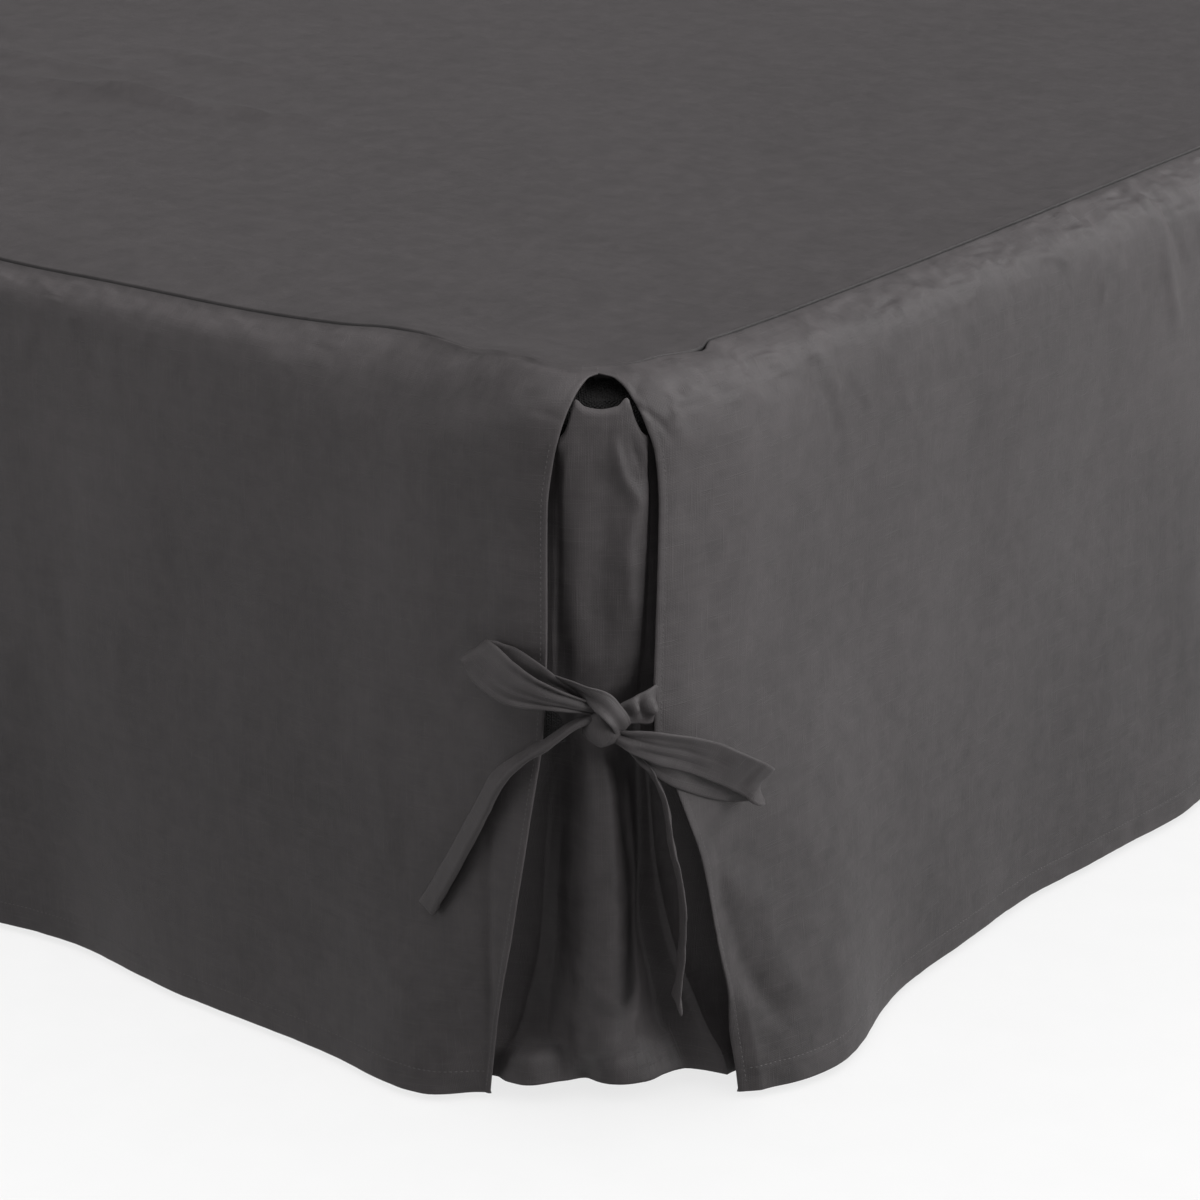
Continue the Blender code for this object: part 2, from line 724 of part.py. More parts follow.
def in_fixed_order(name, points, faces, material):
    """A mesh with its points and faces sorted, so that their order is the same every time."""
    order = sorted(range(len(points)), key=points.__getitem__)
    place = {old: new for new, old in enumerate(order)}
    turned = []
    for face in faces:
        moved = [place[i] for i in face]
        start = moved.index(min(moved))
        turned.append(moved[start:] + moved[:start])
    mesh = bpy.data.meshes.new(name)
    mesh.from_pydata([points[i] for i in order], [], sorted(turned))
    mesh.shade_smooth()
    mesh.set_sharp_from_angle(angle=SHARP_ANGLE)
    mesh.materials.append(material)
    return mesh


def combine(name, parts, cutter, material):
    """One solid from parts that overlap, less a cutter."""
    body = object_from(name, parts[0], material)
    others = [(object_from(f"{name}_part", part, material), "UNION") for part in parts[1:]]
    if cutter is not None:
        others.append((object_from(f"{name}_cutter", cutter, material), "DIFFERENCE"))
    for other, operation in others:
        modifier = body.modifiers.new(operation.lower(), "BOOLEAN")
        modifier.operation = operation
        modifier.solver = "EXACT"
        modifier.object = other
    bpy.context.view_layer.update()
    evaluated = body.evaluated_get(bpy.context.evaluated_depsgraph_get())
    joined = bpy.data.meshes.new_from_object(evaluated)
    points = [tuple(vert.co) for vert in joined.vertices]
    faces = [list(polygon.vertices) for polygon in joined.polygons]
    body.modifiers.clear()
    body.data = in_fixed_order(name, points, faces, material)
    for other, _ in others:
        bpy.data.objects.remove(other, do_unlink=True)
    return body


def make_ties(material):
    finer = STEPS_BETWEEN_ROWS
    left_parts = [
        knot_solid(),
        band_round_knot(),
        lead_solid(-1, LEFT_LEAD_ROWS),
        band_solid(ribbon_sections(through(LEFT_LOOP_ROWS, finer), TIE_SHEET)),
        band_solid(ribbon_sections(through(LEFT_TAIL_ROWS, finer), TIE_SHEET)),
    ]
    cavity = core_solid(CORE_RADIUS + GAP / MM, CORE_START - GAP / MM, CORE_END + KNOT_RADII[0])
    left = combine("tie_a_" + CORNERS[0], left_parts, cavity, material)
    right_parts = [
        core_solid(CORE_RADIUS, CORE_START, CORE_END),
        lead_solid(1, RIGHT_LEAD_ROWS),
        band_solid(ribbon_sections(through(RIGHT_LOOP_ROWS, finer), TIE_SHEET)),
        band_solid(ribbon_sections(through(RIGHT_TAIL_ROWS, finer), TIE_SHEET)),
    ]
    right = combine("tie_b_" + CORNERS[0], right_parts, None, material)
    place_at_corners(left, "tie_a")
    place_at_corners(right, "tie_b")


# Bed base and legs


def rounded_ring(bm, half_width, half_length, radius, height, steps=6):
    """Ring of points round a rectangle with rounded corners."""
    ring = []
    for quarter, (sx, sy) in enumerate(((1, 1), (-1, 1), (-1, -1), (1, -1))):
        for k in range(steps + 1):
            angle = math.pi / 2 * (quarter + k / steps)
            x = sx * (half_width - radius) + radius * math.cos(angle)
            y = sy * (half_length - radius) + radius * math.sin(angle)
            ring.append(bm.verts.new((x, y, height)))
    return ring


def make_bed_base(material):
    top = SEAM_HEIGHT - SHEET - GAP
    shoulder = top - BASE_TOP_EDGE_RADIUS
    levels = [(BASE_BOTTOM_EDGE, BASE_UNDERSIDE), (0.0, BASE_UNDERSIDE + BASE_BOTTOM_EDGE)]
    for degrees in (0, 30, 60, 90):
        angle = math.radians(degrees)
        inset = BASE_TOP_EDGE_RADIUS * (1 - math.cos(angle))
        levels.append((inset, shoulder + BASE_TOP_EDGE_RADIUS * math.sin(angle)))
    bm = bmesh.new()
    rings = [
        rounded_ring(
            bm, BASE_WIDTH / 2 - inset, BASE_LENGTH / 2 - inset, BASE_CORNER_RADIUS - inset, height
        )
        for inset, height in levels
    ]
    bm.faces.new(reversed(rings[0]))
    bm.faces.new(rings[-1])
    for lower, upper in zip(rings, rings[1:]):
        for i in range(len(lower)):
            j = (i + 1) % len(lower)
            bm.faces.new((lower[i], lower[j], upper[j], upper[i]))
    return object_from("bed_base", bm, material)


def make_legs(material):
    height = BASE_UNDERSIDE - GAP
    for corner, sx, sy in (
        ("foot_right", 1, -1),
        ("head_right", 1, 1),
        ("head_left", -1, 1),
        ("foot_left", -1, -1),
    ):
        bm = bmesh.new()
        bmesh.ops.create_cone(
            bm,
            cap_ends=True,
            segments=LEG_SIDES,
            radius1=LEG_FOOT_RADIUS,
            radius2=LEG_TOP_RADIUS,
            depth=height,
        )
        leg = object_from("bed_leg_" + corner, bm, material)
        leg.location = (
            sx * (BASE_WIDTH / 2 - LEG_INSET),
            sy * (BASE_LENGTH / 2 - LEG_INSET),
            height / 2,
        )


def main():
    clear_scene()
    make_top_panel(cloth_material("top_panel_linen", (0.098, 0.090, 0.092)))
    make_skirts(cloth_material("skirt_linen", (0.098, 0.090, 0.092)))
    insert = make_insert_mesh(cloth_material("insert_linen", (0.092, 0.084, 0.086)))
    place_at_corners(insert, "corner_insert")
    make_ties(cloth_material("tie_linen", (0.098, 0.090, 0.092)))
    make_bed_base(cloth_material("base_cloth", (0.045, 0.041, 0.042)))
    make_legs(plain_material("leg_wood", (0.060, 0.045, 0.035), 0.5, 0.0))


main()
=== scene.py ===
"""Looks of the linen cover on its bed base: fine cloth sheets, bows, base, legs, floor, light and camera.

All shapes are in millimetres in the cover's own frame until a mesh is made, and the frame's origin is on the
floor under the middle of the bed, with the foot end facing -Y.
"""

import json
import math

import bpy
import numpy as np
from mathutils import Matrix, Vector

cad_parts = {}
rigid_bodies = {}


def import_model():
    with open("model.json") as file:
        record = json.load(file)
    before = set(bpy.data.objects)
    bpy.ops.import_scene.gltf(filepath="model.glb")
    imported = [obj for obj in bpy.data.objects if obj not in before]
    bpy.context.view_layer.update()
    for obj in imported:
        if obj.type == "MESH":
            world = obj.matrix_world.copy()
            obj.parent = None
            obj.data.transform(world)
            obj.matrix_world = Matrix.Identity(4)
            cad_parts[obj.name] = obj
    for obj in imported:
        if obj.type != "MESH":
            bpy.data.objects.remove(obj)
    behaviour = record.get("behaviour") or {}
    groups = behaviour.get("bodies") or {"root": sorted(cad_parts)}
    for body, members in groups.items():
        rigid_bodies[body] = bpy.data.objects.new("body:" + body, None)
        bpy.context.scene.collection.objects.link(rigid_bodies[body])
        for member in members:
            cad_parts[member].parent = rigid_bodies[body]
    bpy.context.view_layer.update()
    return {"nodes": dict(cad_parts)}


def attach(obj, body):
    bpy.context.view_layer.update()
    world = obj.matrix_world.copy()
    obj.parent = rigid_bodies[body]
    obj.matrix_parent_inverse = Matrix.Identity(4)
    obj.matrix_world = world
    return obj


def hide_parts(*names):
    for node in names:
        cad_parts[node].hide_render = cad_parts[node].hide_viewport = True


MM = 0.001

# The cover's own sizes
HALF_WIDTH = 687
HALF_LENGTH = 937
DROP = 380
HEM_CLEARANCE = 4
CORNER_RADIUS = 50
ROLL_RADIUS = 20
SHEET = 2
GAP = 0.3
CORNER_PATH = CORNER_RADIUS * math.pi / 4
NOMINAL_EDGE = 20
EDGE_REACH = 200
BASE_UNDERSIDE = 200

RIGHT_END_EDGE = (
    # height, from_middle, outside
    (380, -0.3, 20), (378.9, -0.2, 20), (378.5, 2.8, 20), (377.3, 5.6, 20), (370, 10.5, 20),
    (360, 13.5, 20), (344, 16.3, 20), (320, 18.4, 20), (252, 18.8, 20), (210, 20.2, 20),
    (170, 24.8, 18.5), (130, 30, 17), (85, 37, 14.5), (42, 48.5, 8.5), (0, 57.5, 3),
)
LEFT_END_EDGE = (
    # height, from_middle, outside
    (380, -0.3, 20), (378.9, -0.2, 20), (378.5, 3.4, 20), (377.3, 7, 20), (370, 11.8, 20),
    (360, 14.5, 20), (344, 18.1, 20), (320, 19.6, 20), (252, 18.6, 20), (210, 17.4, 21),
    (170, 27.5, 22.5), (130, 36.5, 25), (85, 45, 28.5), (42, 57, 32), (20, 60.5, 34.5), (0, 62.7, 36),
)
EDGE_TURN_AT_HEM = 16
EDGE_TURN_AT_TOP = 32
LEAN_AT_HEM = 9
LEAN_FROM_LEFT_END = 500
LEAN_FROM_RIGHT_END = 200
LEAN_POWER = 1.5
FOLD_POWER = 1.4
FOLDS_FROM_LEFT = {
    # crest, reach, half_width, start
    "short": ((129, 23, 58, 220), (330, -3, 60, 200), (500, 9, 70, 190), (690, -6, 75, 170)),
    "long": (
        (129, 23, 58, 220), (330, -3, 60, 200), (500, 9, 70, 190), (700, -6, 80, 170), (870, 8, 75, 200),
        (1050, -7, 70, 180), (1220, 10, 80, 210),
    ),
}
FOLDS_FROM_RIGHT = {
    # crest, reach, half_width, start
    "short": ((113, 7, 38, 190), (355, -10, 55, 230), (520, 6, 70, 190)),
    "long": ((113, 7, 38, 190), (355, -10, 55, 230), (520, 7, 70, 190)),
}
SIDES = (
    # name, half length of the seam, its distance from the middle, turn about Z, folds, fine end, seed
    ("foot", HALF_WIDTH, HALF_LENGTH, 0, "short", "right", 11),
    ("right", HALF_LENGTH, HALF_WIDTH, 90, "long", "left", 12),
    ("head", HALF_WIDTH, HALF_LENGTH, 180, "short", None, 13),
    ("left", HALF_LENGTH, HALF_WIDTH, 270, "long", None, 14),
)
CORNERS = ("foot_right", "head_right", "head_left", "foot_left")

# Corner insert: places across its slit, as shares of the slit's width, and its sections there
INSERT_SHARES = (0, 0.05, 0.12, 0.27, 0.42, 0.53, 0.67, 0.93, 0.97, 1)
INSERT_TOP_EDGE = (
    # across from the middle, height
    (-17, 353), (-15, 354), (-13, 357), (-11.2, 364), (-10.2, 370), (-9.4, 371.5), (-6, 368.5), (0, 367),
    (6, 368.3), (9.4, 371.5), (10.2, 370.5), (11.4, 364), (13.4, 357), (15.5, 353.5), (18.5, 352),
)
INSERT_TAB_FROM = 352
INSERT_SECTIONS = (
    # height, then how far outside the seam line at each of the ten shares
    (372, 11, 12, 12.5, 13, 13, 13, 13, 12.5, 12, 11),
    (353, 17.5, 17, 16.5, 15.5, 15, 15, 16, 17, 17.5, 17.5),
    (344, 13.5, 15, 16, 15.5, 15, 15, 16, 17, 15, 12),
    (336, 10.5, 12, 14.5, 14.5, 14, 14, 15, 16, 13, 10.5),
    (300, 9.5, 9, 11, 12.5, 12, 11.5, 13, 14, 12, 10.5),
    (252, 8.5, 7.5, 8, 10, 10, 10, 10.5, 11, 10, 9.5), (222, 6, 5.5, 5.5, 7.5, 9, 9, 8, 7.5, 7.5, 8),
    (198, 2.5, 2.5, 3, 6, 10, 10, 6, 3, 4, 6), (170, -3, -3, -2.5, 1, 9.5, 10.5, 3, -6, -4.5, -1),
    (130, -8, -9, -9.5, -4, 7, 8.5, 0, -13, -11, -5),
    (85, -12, -14, -16, -11, 1.5, 3.5, -4, -17, -12, -1),
    (42, -13, -16, -19, -17, -6, -3, -8, -16, -7, 8), (28, -9, -12, -17, -19, -9, -7, -10, -12, -1, 14),
    (24, -4, -4, -5, -18, -12, -9, -10, -8, 2, 17), (18, -2, -1, -1.5, -15, -16, -10, -8, -4, 4, 20),
    (8, -1.5, 0, -1.5, -14, -20, -13, -7, 1, 9.5, 22), (0, -1.5, 0, -1.5, -14, -20, -13, -7, 1, 9.5, 22),
)
INSERT_HEM_ENDS = 8
INSERT_HEM_MIDDLE = 8.5
# Painted shade on the insert, lower down and at its hem
INSERT_SHADE = 1.4
INSERT_SHADE_FALL = (325, 245)
INSERT_HEM_SHADE = 0.7
INSERT_HEM_SHADE_FALL = (34, 14)
INSERT_WORN_EDGE = 2.5
INSERT_HEM_CLOTH = 1.7
INSERT_HEM_HEIGHT = 20
OPEN_MARGIN = 0.02
OPEN_FADE = 0.06
# Painted light on the insert's wings, which lie in shade behind the skirts
WING_PAINTED_LIGHT = 1.5
WING_PAINTED_LIGHT_FALL = (300, 240)
WING_WIDTH = 52
WING_FALL = 1.2
WING_TUCK = 2.6
WING_TUCK_RISE = (280, 340)
WING_RETURN_AT_BASE = 26
WING_RETURN_AT_HEM = 60

# How close together the points stand: (distance, step there)
FINE_COLUMNS = ((0, 0.3), (1.5, 0.6), (5, 0.9), (10, 1.4), (16, 2.8), (40, 3.8), (560, 4), (700, 12))
PLAIN_COLUMNS = ((0, 0.35), (1.5, 0.8), (5, 1.2), (10, 1.8), (16, 3.5), (60, 8), (200, 12))
HANGING_ROWS = ((0, 0.3), (1.5, 0.9), (8, 2.2), (12, 1), (16, 1.4), (26, 4), (60, 5.2), (320, 5.2))
SEAM_ROWS = (0.0, 0.008, 0.02, 0.045, 0.08, 0.13, 0.19, 0.26, 0.36, 0.5)
SHOULDER_ROWS = np.linspace(0.66, 7, 36)
UNDER, OVER, HANGING = 0, 1, 2
TOP_STEPS = ((0, 0.12), (0.3, 0.2), (1.2, 0.45), (3, 1), (8, 2.2), (20, 5), (60, 9.5))
WING_STEPS = ((0, 0.8), (6, 2.5), (20, 5))
INSERT_ROWS = 100
INSERT_EDGE_SHARE = 0.18
KNOT_RINGS, KNOT_SEGMENTS = 22, 30
RIBBON_STEPS = 5

# Soft waves: how many, shortest and longest each way, and size. A skirt's also have where down it they begin
# and where they are whole.
SKIRT_RIPPLES = (
    (14, (90, 280), (250, 900), 0.5, 30, 70),
    (24, (30, 130), (60, 260), 0.1, 0, 20),
    (34, (9, 24), (10, 30), 0.06, -1, 0),
)
TOP_RIPPLES = ((16, (160, 600), (120, 420), 0.35), (18, (50, 160), (30, 110), 0.16))
TIE_RIPPLE = (12, (10, 45), (12, 60), 0.16)
INSERT_RIPPLES = ((16, (18, 60), (60, 200), 0.14), (20, (7, 18), (10, 40), 0.06))

# Small creases at random: how many, where each way, lengths, half widths, relief, angles. A skirt's have how
# many a centimetre, no range along it, and last whether they belong to its crumpled shoulder.
SKIRT_CRUMPLE = (
    (2, (2, 30), (7, 24), (1.1, 2.6), 1.25, (-0.3, 2.4), True),
    (0.5, (10, 60), (18, 45), (2.4, 4.2), 0.9, (0.8, 2.3), True),
    (1, (50, 400), (12, 40), (2.6, 5.5), 0.3, (-1.5, 1.6), False),
)
SHOULDER_CRUMPLE = {"foot": 0.6, "right": 1.25, "head": 0.6, "left": 1.25}
TOP_CRUMPLE = (
    (70, (-660, 660), (-900, 900), (60, 200), (6, 11), 0.5, (-0.5, 0.5)),
    (120, (-670, 670), (-920, 920), (20, 70), (4, 6), 0.3, (-1.2, 1.2)),
)
INSERT_CRUMPLE = ((26, (-60, 60), (10, 350), (14, 50), (2, 3.5), 0.5, (0.3, 2.8)),)

# Random seeds, and what keeps one piece's weave and dye from another's
TOP_SEED = 21
INSERT_SEED = 31
TIE_SEED = 41
SHOULDER_HIGHLIGHT_SEED = 51
TOP_APART = 500.0
SKIRTS_APART = 1000.0
INSERT_APART = 7000.0
TIES_APART = 40.0
KNOT_APART = 3.0

# Fine detail of the cloth
CREASE_TAPER = 0.35
CREASE_BEND = 0.06
CLOTH = 1.0
HEM_WIDTH = 3.4
HEM_CLOTH = 1.8
HEM_RISE = 0.14
HEM_STEP = 1.5
HEM_THICKENS = (14, 24)
BOTTOM_HEM = 14
EDGE_ROUND = 0.8
STITCH_DIP = 0.16
STITCH_DIP_WIDTH = 0.8
STITCH_LINE = 0.6
STITCHED_FROM = 24
STITCH_PITCH = 2.7
STITCH_LENGTH = 1.9
STITCH_WIDTH = 0.28
STITCH_LIFT = 0.12
STITCH_FOOT = -0.15
# Painted shade: a dark line along the seam's groove, and darker cloth low on each skirt
SEAM_SHADE = 5
SEAM_SHADE_WIDTH = 1.4
LOW_SHADE = {"foot": 1.2, "right": 2.0, "head": 1.2, "left": 1.2}
LOW_SHADE_FROM = 100
LOW_SHADE_WHOLE = 320
# Painted highlight: a paler, uneven band over each skirt's shoulder, where it catches the light
SHOULDER_HIGHLIGHT = {"foot": 2.0, "right": 0.5, "head": 1.0, "left": 1.0}
SHOULDER_HIGHLIGHT_RIPPLE = (24, (14, 90), (16, 60), 0.2)
SHOULDER_HIGHLIGHT_AT_CORNER = 0.3
SHOULDER_HIGHLIGHT_CORNER = (50, 180)
SHOULDER_HIGHLIGHT_COMES = (3, 8)
SHOULDER_HIGHLIGHT_GOES = (16, 38)
WORN_EDGE = 1.4
SEAM_DEPTH = 4.2
SEAM_LIP = 1.5
SEAM_ALLOWANCE = 5
SEAM_BEAD = 0.9
SEAM_BEAD_FROM_SEAM = 1.6
SEAM_BEAD_WIDTH = 1.1
GROOVE_WITH_NO_BEAD = 0.5
SKIRT_LIFT = 0.15
UNDER_SEAM = 0.05
SLIT_OPENS = 7
SLIT_OPEN = 11
WANDER_REACH = 44

# Sections of a skirt's shoulder: out from the seam and down from it, from the seam to the hanging part
SHOULDER_PLACES = (0, 1, 2, 3, 4, 5, 6, 7)
SHOULDER_AT_SLIT = ((0, 0), (6.2, 1.0), (11.8, 3.8), (16.2, 8.2), (19, 13.8), (20, 20), (20, 38), (20, 60))
SHOULDERS = {
    # distance from the middle of the corner, then the section there
    "right": (
        (20, SHOULDER_AT_SLIT),
        (105, ((0, 0), (3.5, 1.5), (8, 5.2), (12, 11), (15, 19), (17.8, 30), (19.6, 43), (20.3, 60))),
        (220, ((0, 0), (5, 2.4), (10, 5.2), (14.8, 8.6), (17.2, 13), (18.8, 20), (20.8, 36), (21.7, 60))),
    ),
    "left": (
        (20, SHOULDER_AT_SLIT),
        (75, ((0, 0), (6, 2.2), (11, 4.9), (15.8, 9), (19.6, 15), (22.6, 23.5), (25, 38), (25.8, 60))),
        (150, ((0, 0), (6, 2.4), (12, 5.2), (17.4, 9), (21.4, 15), (24, 23), (26.2, 38), (27, 60))),
    ),
}
SHOULDER_DROP = 60
FLARE_FROM_PLACE = 5
SHOULDER_GONE = 190
BASE_EDGE_RADIUS = 22
BASE_EDGE_OUT = -9
BASE_EDGE_DROP = 24.3
BASE_CLEARANCE = 1.6
BASE_EDGE_SOFTNESS = 0.9
BASE_CLEARED = (NOMINAL_EDGE, 50)
BASE_ASIDE = 6

# Where the seam wanders from its true line: distance from the middle of the corner, inwards, and up
SEAM_WANDER = {
    ("foot", "right"): (
        (0, 5, 1.8), (9, 4.5, 1.8), (22, 6, 2), (41, 10, 2.4), (57, 9.5, 2.2), (71, 5.5, 1.5),
        (89, 7.5, 2), (104, 10, 2.2), (123, 8, 2), (147, 2, 0.7), (212, -3.7, -1.2), (286, -5.6, -2),
        (363, -7.7, -3), (450, -5, -2), (600, 0, 0),
    ),
    ("right", "left"): (
        (0, 5, 1.8), (19, 4.5, 2), (34, 5, 2.2), (50, 2.5, 1.2), (58, 0.5, 0.5), (63, -0.5, 0),
        (68, 1.5, 0.2), (74, 4.5, 1), (96, 3.3, 0.8), (140, 2.7, 0.4), (235, 2.6, 0.3), (335, 3.4, 0.4),
        (465, 5.5, 0.6), (552, 6.5, 0.7), (700, 0, 0),
    ),
}
PLAIN_WANDER = (
    (0, 5, 1.8), (30, 5, 2), (70, 2, 0.6), (140, 3, 0.5), (260, -2, -0.8), (420, 2, 0.3), (600, 0, 0),
)

# Depth of the seam's groove, by distance from the middle of the corner. Where it has none a bead stands.
SEAM_GROOVE = {
    ("foot", "right"): ((0, 0), (88, 0), (110, 0.8), (140, 1), (600, 1)),
    ("right", "left"): (
        (0, 0.1), (30, 0.4), (56, 0.5), (63, 1.2), (69, 1.2), (78, 0.7), (110, 0.9), (600, 0.9),
    ),
}
PLAIN_GROOVE = ((0, 0.1), (40, 0.6), (100, 0.9), (600, 0.9))

# Creases of the skirts. Each runs from one point to the other, given by distance from the sharp corner of
# the seam at that end and by height above the hem. A relief below nothing is a trough.
CREASES = {
    ("right", "left"): (
        # from, height, to, height, half width, relief
        (43, 377, 44, 352, 4, -1.5), (57, 381, 63, 364, 3, -1.1), (88, 386, 94, 366, 3, -1.6),
        (82, 368, 98, 350, 4.5, 1), (70, 380, 74, 356, 4.5, 0.8), (110, 383, 122, 366, 3, -0.7),
        (130, 384, 152, 372, 3, 0.6), (150, 370, 300, 374, 8, 0.9), (202, 338, 224, 312, 2.2, 0.55),
        (216, 324, 281, 324, 2.6, 0.45), (397, 262, 522, 254, 2.6, 0.5), (300, 385, 344, 376, 3, -0.8),
        (404, 380, 430, 348, 3.5, -0.8), (436, 386, 462, 362, 3, 0.8), (463, 388, 484, 300, 5, 2),
        (476, 386, 490, 330, 3.6, -1.6), (501, 389, 520, 330, 4, 1.6), (520, 388, 530, 345, 4, -1.2),
        (47, 347, 44, 300, 5, -0.6), (500, 156, 433, 91, 6, 0.6), (412, 219, 428, 196, 2.6, 0.5),
        (32, 162, 100, 92, 8, 1.6), (88, 98, 110, 42, 7, 1.2), (56, 140, 97, 32, 5, -1.9),
        (140, 60, 116, 112, 8, -0.8), (150, 150, 230, 60, 10, 0.8),
    ),
    ("foot", "right"): (
        # from, height, to, height, half width, relief
        (106, 360, 105, 296, 4, 0.6), (127, 181, 115, 112, 6, 0.8), (306, 97, 119, 150, 3, 0.45),
        (315, 285, 326, 180, 7, 0.5), (71, 318, 82, 262, 4.5, -0.5), (78, 288, 62, 246, 4, 0.5),
        (144, 84, 98, 44, 7, 0.8), (240, 66, 156, 50, 6, 0.5), (342, 230, 344, 140, 6, -0.6),
        (298, 196, 303, 150, 4, 0.5), (96, 212, 40, 194, 5, 0.5), (150, 384, 260, 372, 5, 0.6),
        (20, 386, 60, 379, 3, 0.8),
    ),
}

# Turned edge of a skirt's right end: the crease that its slit edge is turned in along
TURN_CREASE = (
    # height, from the middle of the corner
    (172, 46), (118, 46), (64, 49), (20, 55), (0, 58),
)
TURN_CREASE_DIP = 1.7
TURN_CREASE_WIDTH = 2.2
TURN_CREASE_TOP = 178
TURN_CREASE_WHOLE = 138
EDGE_CURL_WIDTH = 9
EDGE_CURL_DEPTH = 7
EDGE_CURL_FROM = 68
EDGE_CURL_WHOLE = 28
EDGE_CURL_POWER = 1.3

# Soft wrinkles of the top, from one point to the other in the cover's own frame
TOP_WRINKLES = (
    # x, y, x, y, half width, relief
    (-150, -652, 170, -640, 8, 6), (40, -650, 250, -628, 6, 4.4), (-60, -612, 110, -596, 7, 3.4),
    (-20, -590, 60, -578, 7, 2), (20, -545, 160, -540, 8, 2.6), (50, -740, 136, -684, 5, 2.8),
    (90, -768, 206, -690, 5, 3.2), (-330, -610, -100, -650, 11, 3.4), (-300, -500, -80, -560, 10, 3),
    (-420, 300, -150, 360, 12, 3.2), (-60, 420, 240, 380, 12, 2.6), (120, -60, 420, -20, 13, 2),
    (-500, -120, -260, -160, 12, 2.6), (300, 560, 520, 640, 12, 2.6), (-520, 640, -330, 560, 12, 2.8),
)
TOP_SOFTNESS = 0.5
TOP_RELIEF_RISE = (3, 33)
TOP_GROOVE = 0.12
TOP_SWELL = 0.3
TOP_SWELL_FROM_RIM = 9
TOP_SWELL_SPREAD = 30

# Folds of the insert, along lines given by share of the slit's width and by height above the hem
INSERT_CREASE_SCALE = 40
INSERT_CREASES = (
    # share, height, share, height, half width, relief
    (0.6, 352, 0.86, 320, 2.4, 2.4), (0.86, 330, 0.84, 262, 3.2, 1.8), (0.8, 350, 0.9, 338, 1.92, -1.2),
    (0.55, 330, 0.6, 240, 6.4, -0.8), (0.22, 345, 0.2, 250, 4.8, 0.4), (0.46, 205, 0.46, 60, 4, 1),
    (0.3, 84, 0.66, 50, 1.92, 1.8), (0.34, 70, 0.58, 46, 4, -1),
)
# share, height, half width in share, half height, relief
INSERT_BULGE = (0.62, 2, 0.12, 20, 1.0)

# Bow, seen from outside the corner: across to the right, out from the seam's rounded corner and up from the
# hem, then the direction of the ribbon's width, and the width
TIE_WIDTH = 20
TIE_CLOTH = 1.4
TIE_HEM = 6
TIE_HEM_CLOTH = 0.35
FOLD_GAP = 1.9
RIGHT_LEAD_ROWS = (
    # across, out, up, width_across, width_out, width_up, width
    (27.2, 13.6, 222.5, 0, 0.05, 1, 18.5), (24, 17, 222.5, 0, 0.05, 1, 18.5),
    (20.5, 19.5, 222.5, 0, 0, 1, 17), (16, 21.5, 222.5, 0.05, -0.15, 1, 14),
    (11, 23.5, 222, 0.1, -0.25, 0.97, 11), (5, 24, 220, 0.1, -0.3, 0.95, 9),
)
RIGHT_LEAD_DENTS = (
    # way along, across (-1 to 1), half length, half width, relief
    (8, -0.05, 3, 0.38, -5.5), (16.5, 0.2, 1.8, 0.5, -4.5), (3, 0, 1.4, 0.9, 1.2),
    (12.5, 0.1, 1.6, 0.6, 1.2),
)
RIGHT_LOOP_ROWS = (
    # across, out, up, width_across, width_out, width_up, width
    (2, 25.5, 214, 0.45, 0, 0.89, 6), (8, 27.5, 211, 0.45, 0, 0.89, 8),
    (14, 28.5, 209, 0.45, 0, 0.89, 12), (22, 28, 206.5, 0.43, 0.14, 0.89, 16),
    (30, 25.5, 203, 0.43, 0.14, 0.89, 18), (37.5, 22, 199.8, 0.43, 0.14, 0.89, 19),
    (46, 17.5, 195.3, 0.43, 0.14, 0.89, 19.5), (54, 13.5, 190.5, 0.43, 0.14, 0.89, 20),
    (62, 9.5, 185, 0.42, 0.16, 0.88, 20), (70, 5, 179.2, 0.38, 0.2, 0.9, 20),
    (76, 0.5, 174, 0.28, 0.28, 0.92, 20), (79, -3.5, 170, 0.2, 0.4, 0.9, 20),
    (78, -8, 167.4, 0.2, 0.4, 0.9, 20), (73, -8, 167.6, 0.3, 0.25, 0.92, 20),
    (65, -4, 171.6, 0.4, -0.15, 0.91, 20), (56, 2, 176.4, 0.45, -0.2, 0.87, 20),
    (46, 8.6, 182.2, 0.45, -0.2, 0.87, 19), (33, 19, 190, 0.45, 0.05, 0.89, 15.5),
    (22, 21, 197.5, 0.45, 0.05, 0.89, 12), (14, 21, 204.5, 0.45, 0, 0.89, 8),
    (5, 20, 211.5, 0.45, 0, 0.89, 7),
)
RIGHT_LOOP_DENTS = (
    # way along, across (-1 to 1), half length, half width, relief
    (30, -0.45, 22, 0.14, -1.3), (26, 0.55, 18, 0.16, -1.1), (34, 0.1, 24, 0.12, -0.8),
    (85, 0.2, 2.2, 0.8, -0.8), (40, -0.92, 34, 0.12, 0.9),
)
RIGHT_TAIL_ROWS = (
    # across, out, up, width_across, width_out, width_up, width
    (6, 21, 212, 0, 0.93, 0.37, 6), (12, 18.5, 204.5, 0, 0.93, 0.37, 7),
    (18.5, 17.5, 196.5, 0, 0.93, 0.37, 8), (24, 17, 187.5, 0, 0.93, 0.37, 9.5),
    (28.5, 16.5, 177, 0, 0.93, 0.37, 11), (31.5, 15.5, 164.5, 0, 0.93, 0.37, 13),
    (33.8, 13.5, 148, 0, 0.93, 0.37, 15), (37, 11.5, 134, 0, 0.93, 0.37, 17),
    (39.5, 10, 120, 0, 0.93, 0.37, 18), (40.5, 8, 100, 0, 0.93, 0.37, 19),
    (39.8, 6.5, 81, 0, 0.93, 0.37, 20), (38.6, 5.5, 66, 0, 0.93, 0.36, 20),
    (38.5, 5, 58.5, 0.04, 0.93, 0.36, 20),
)
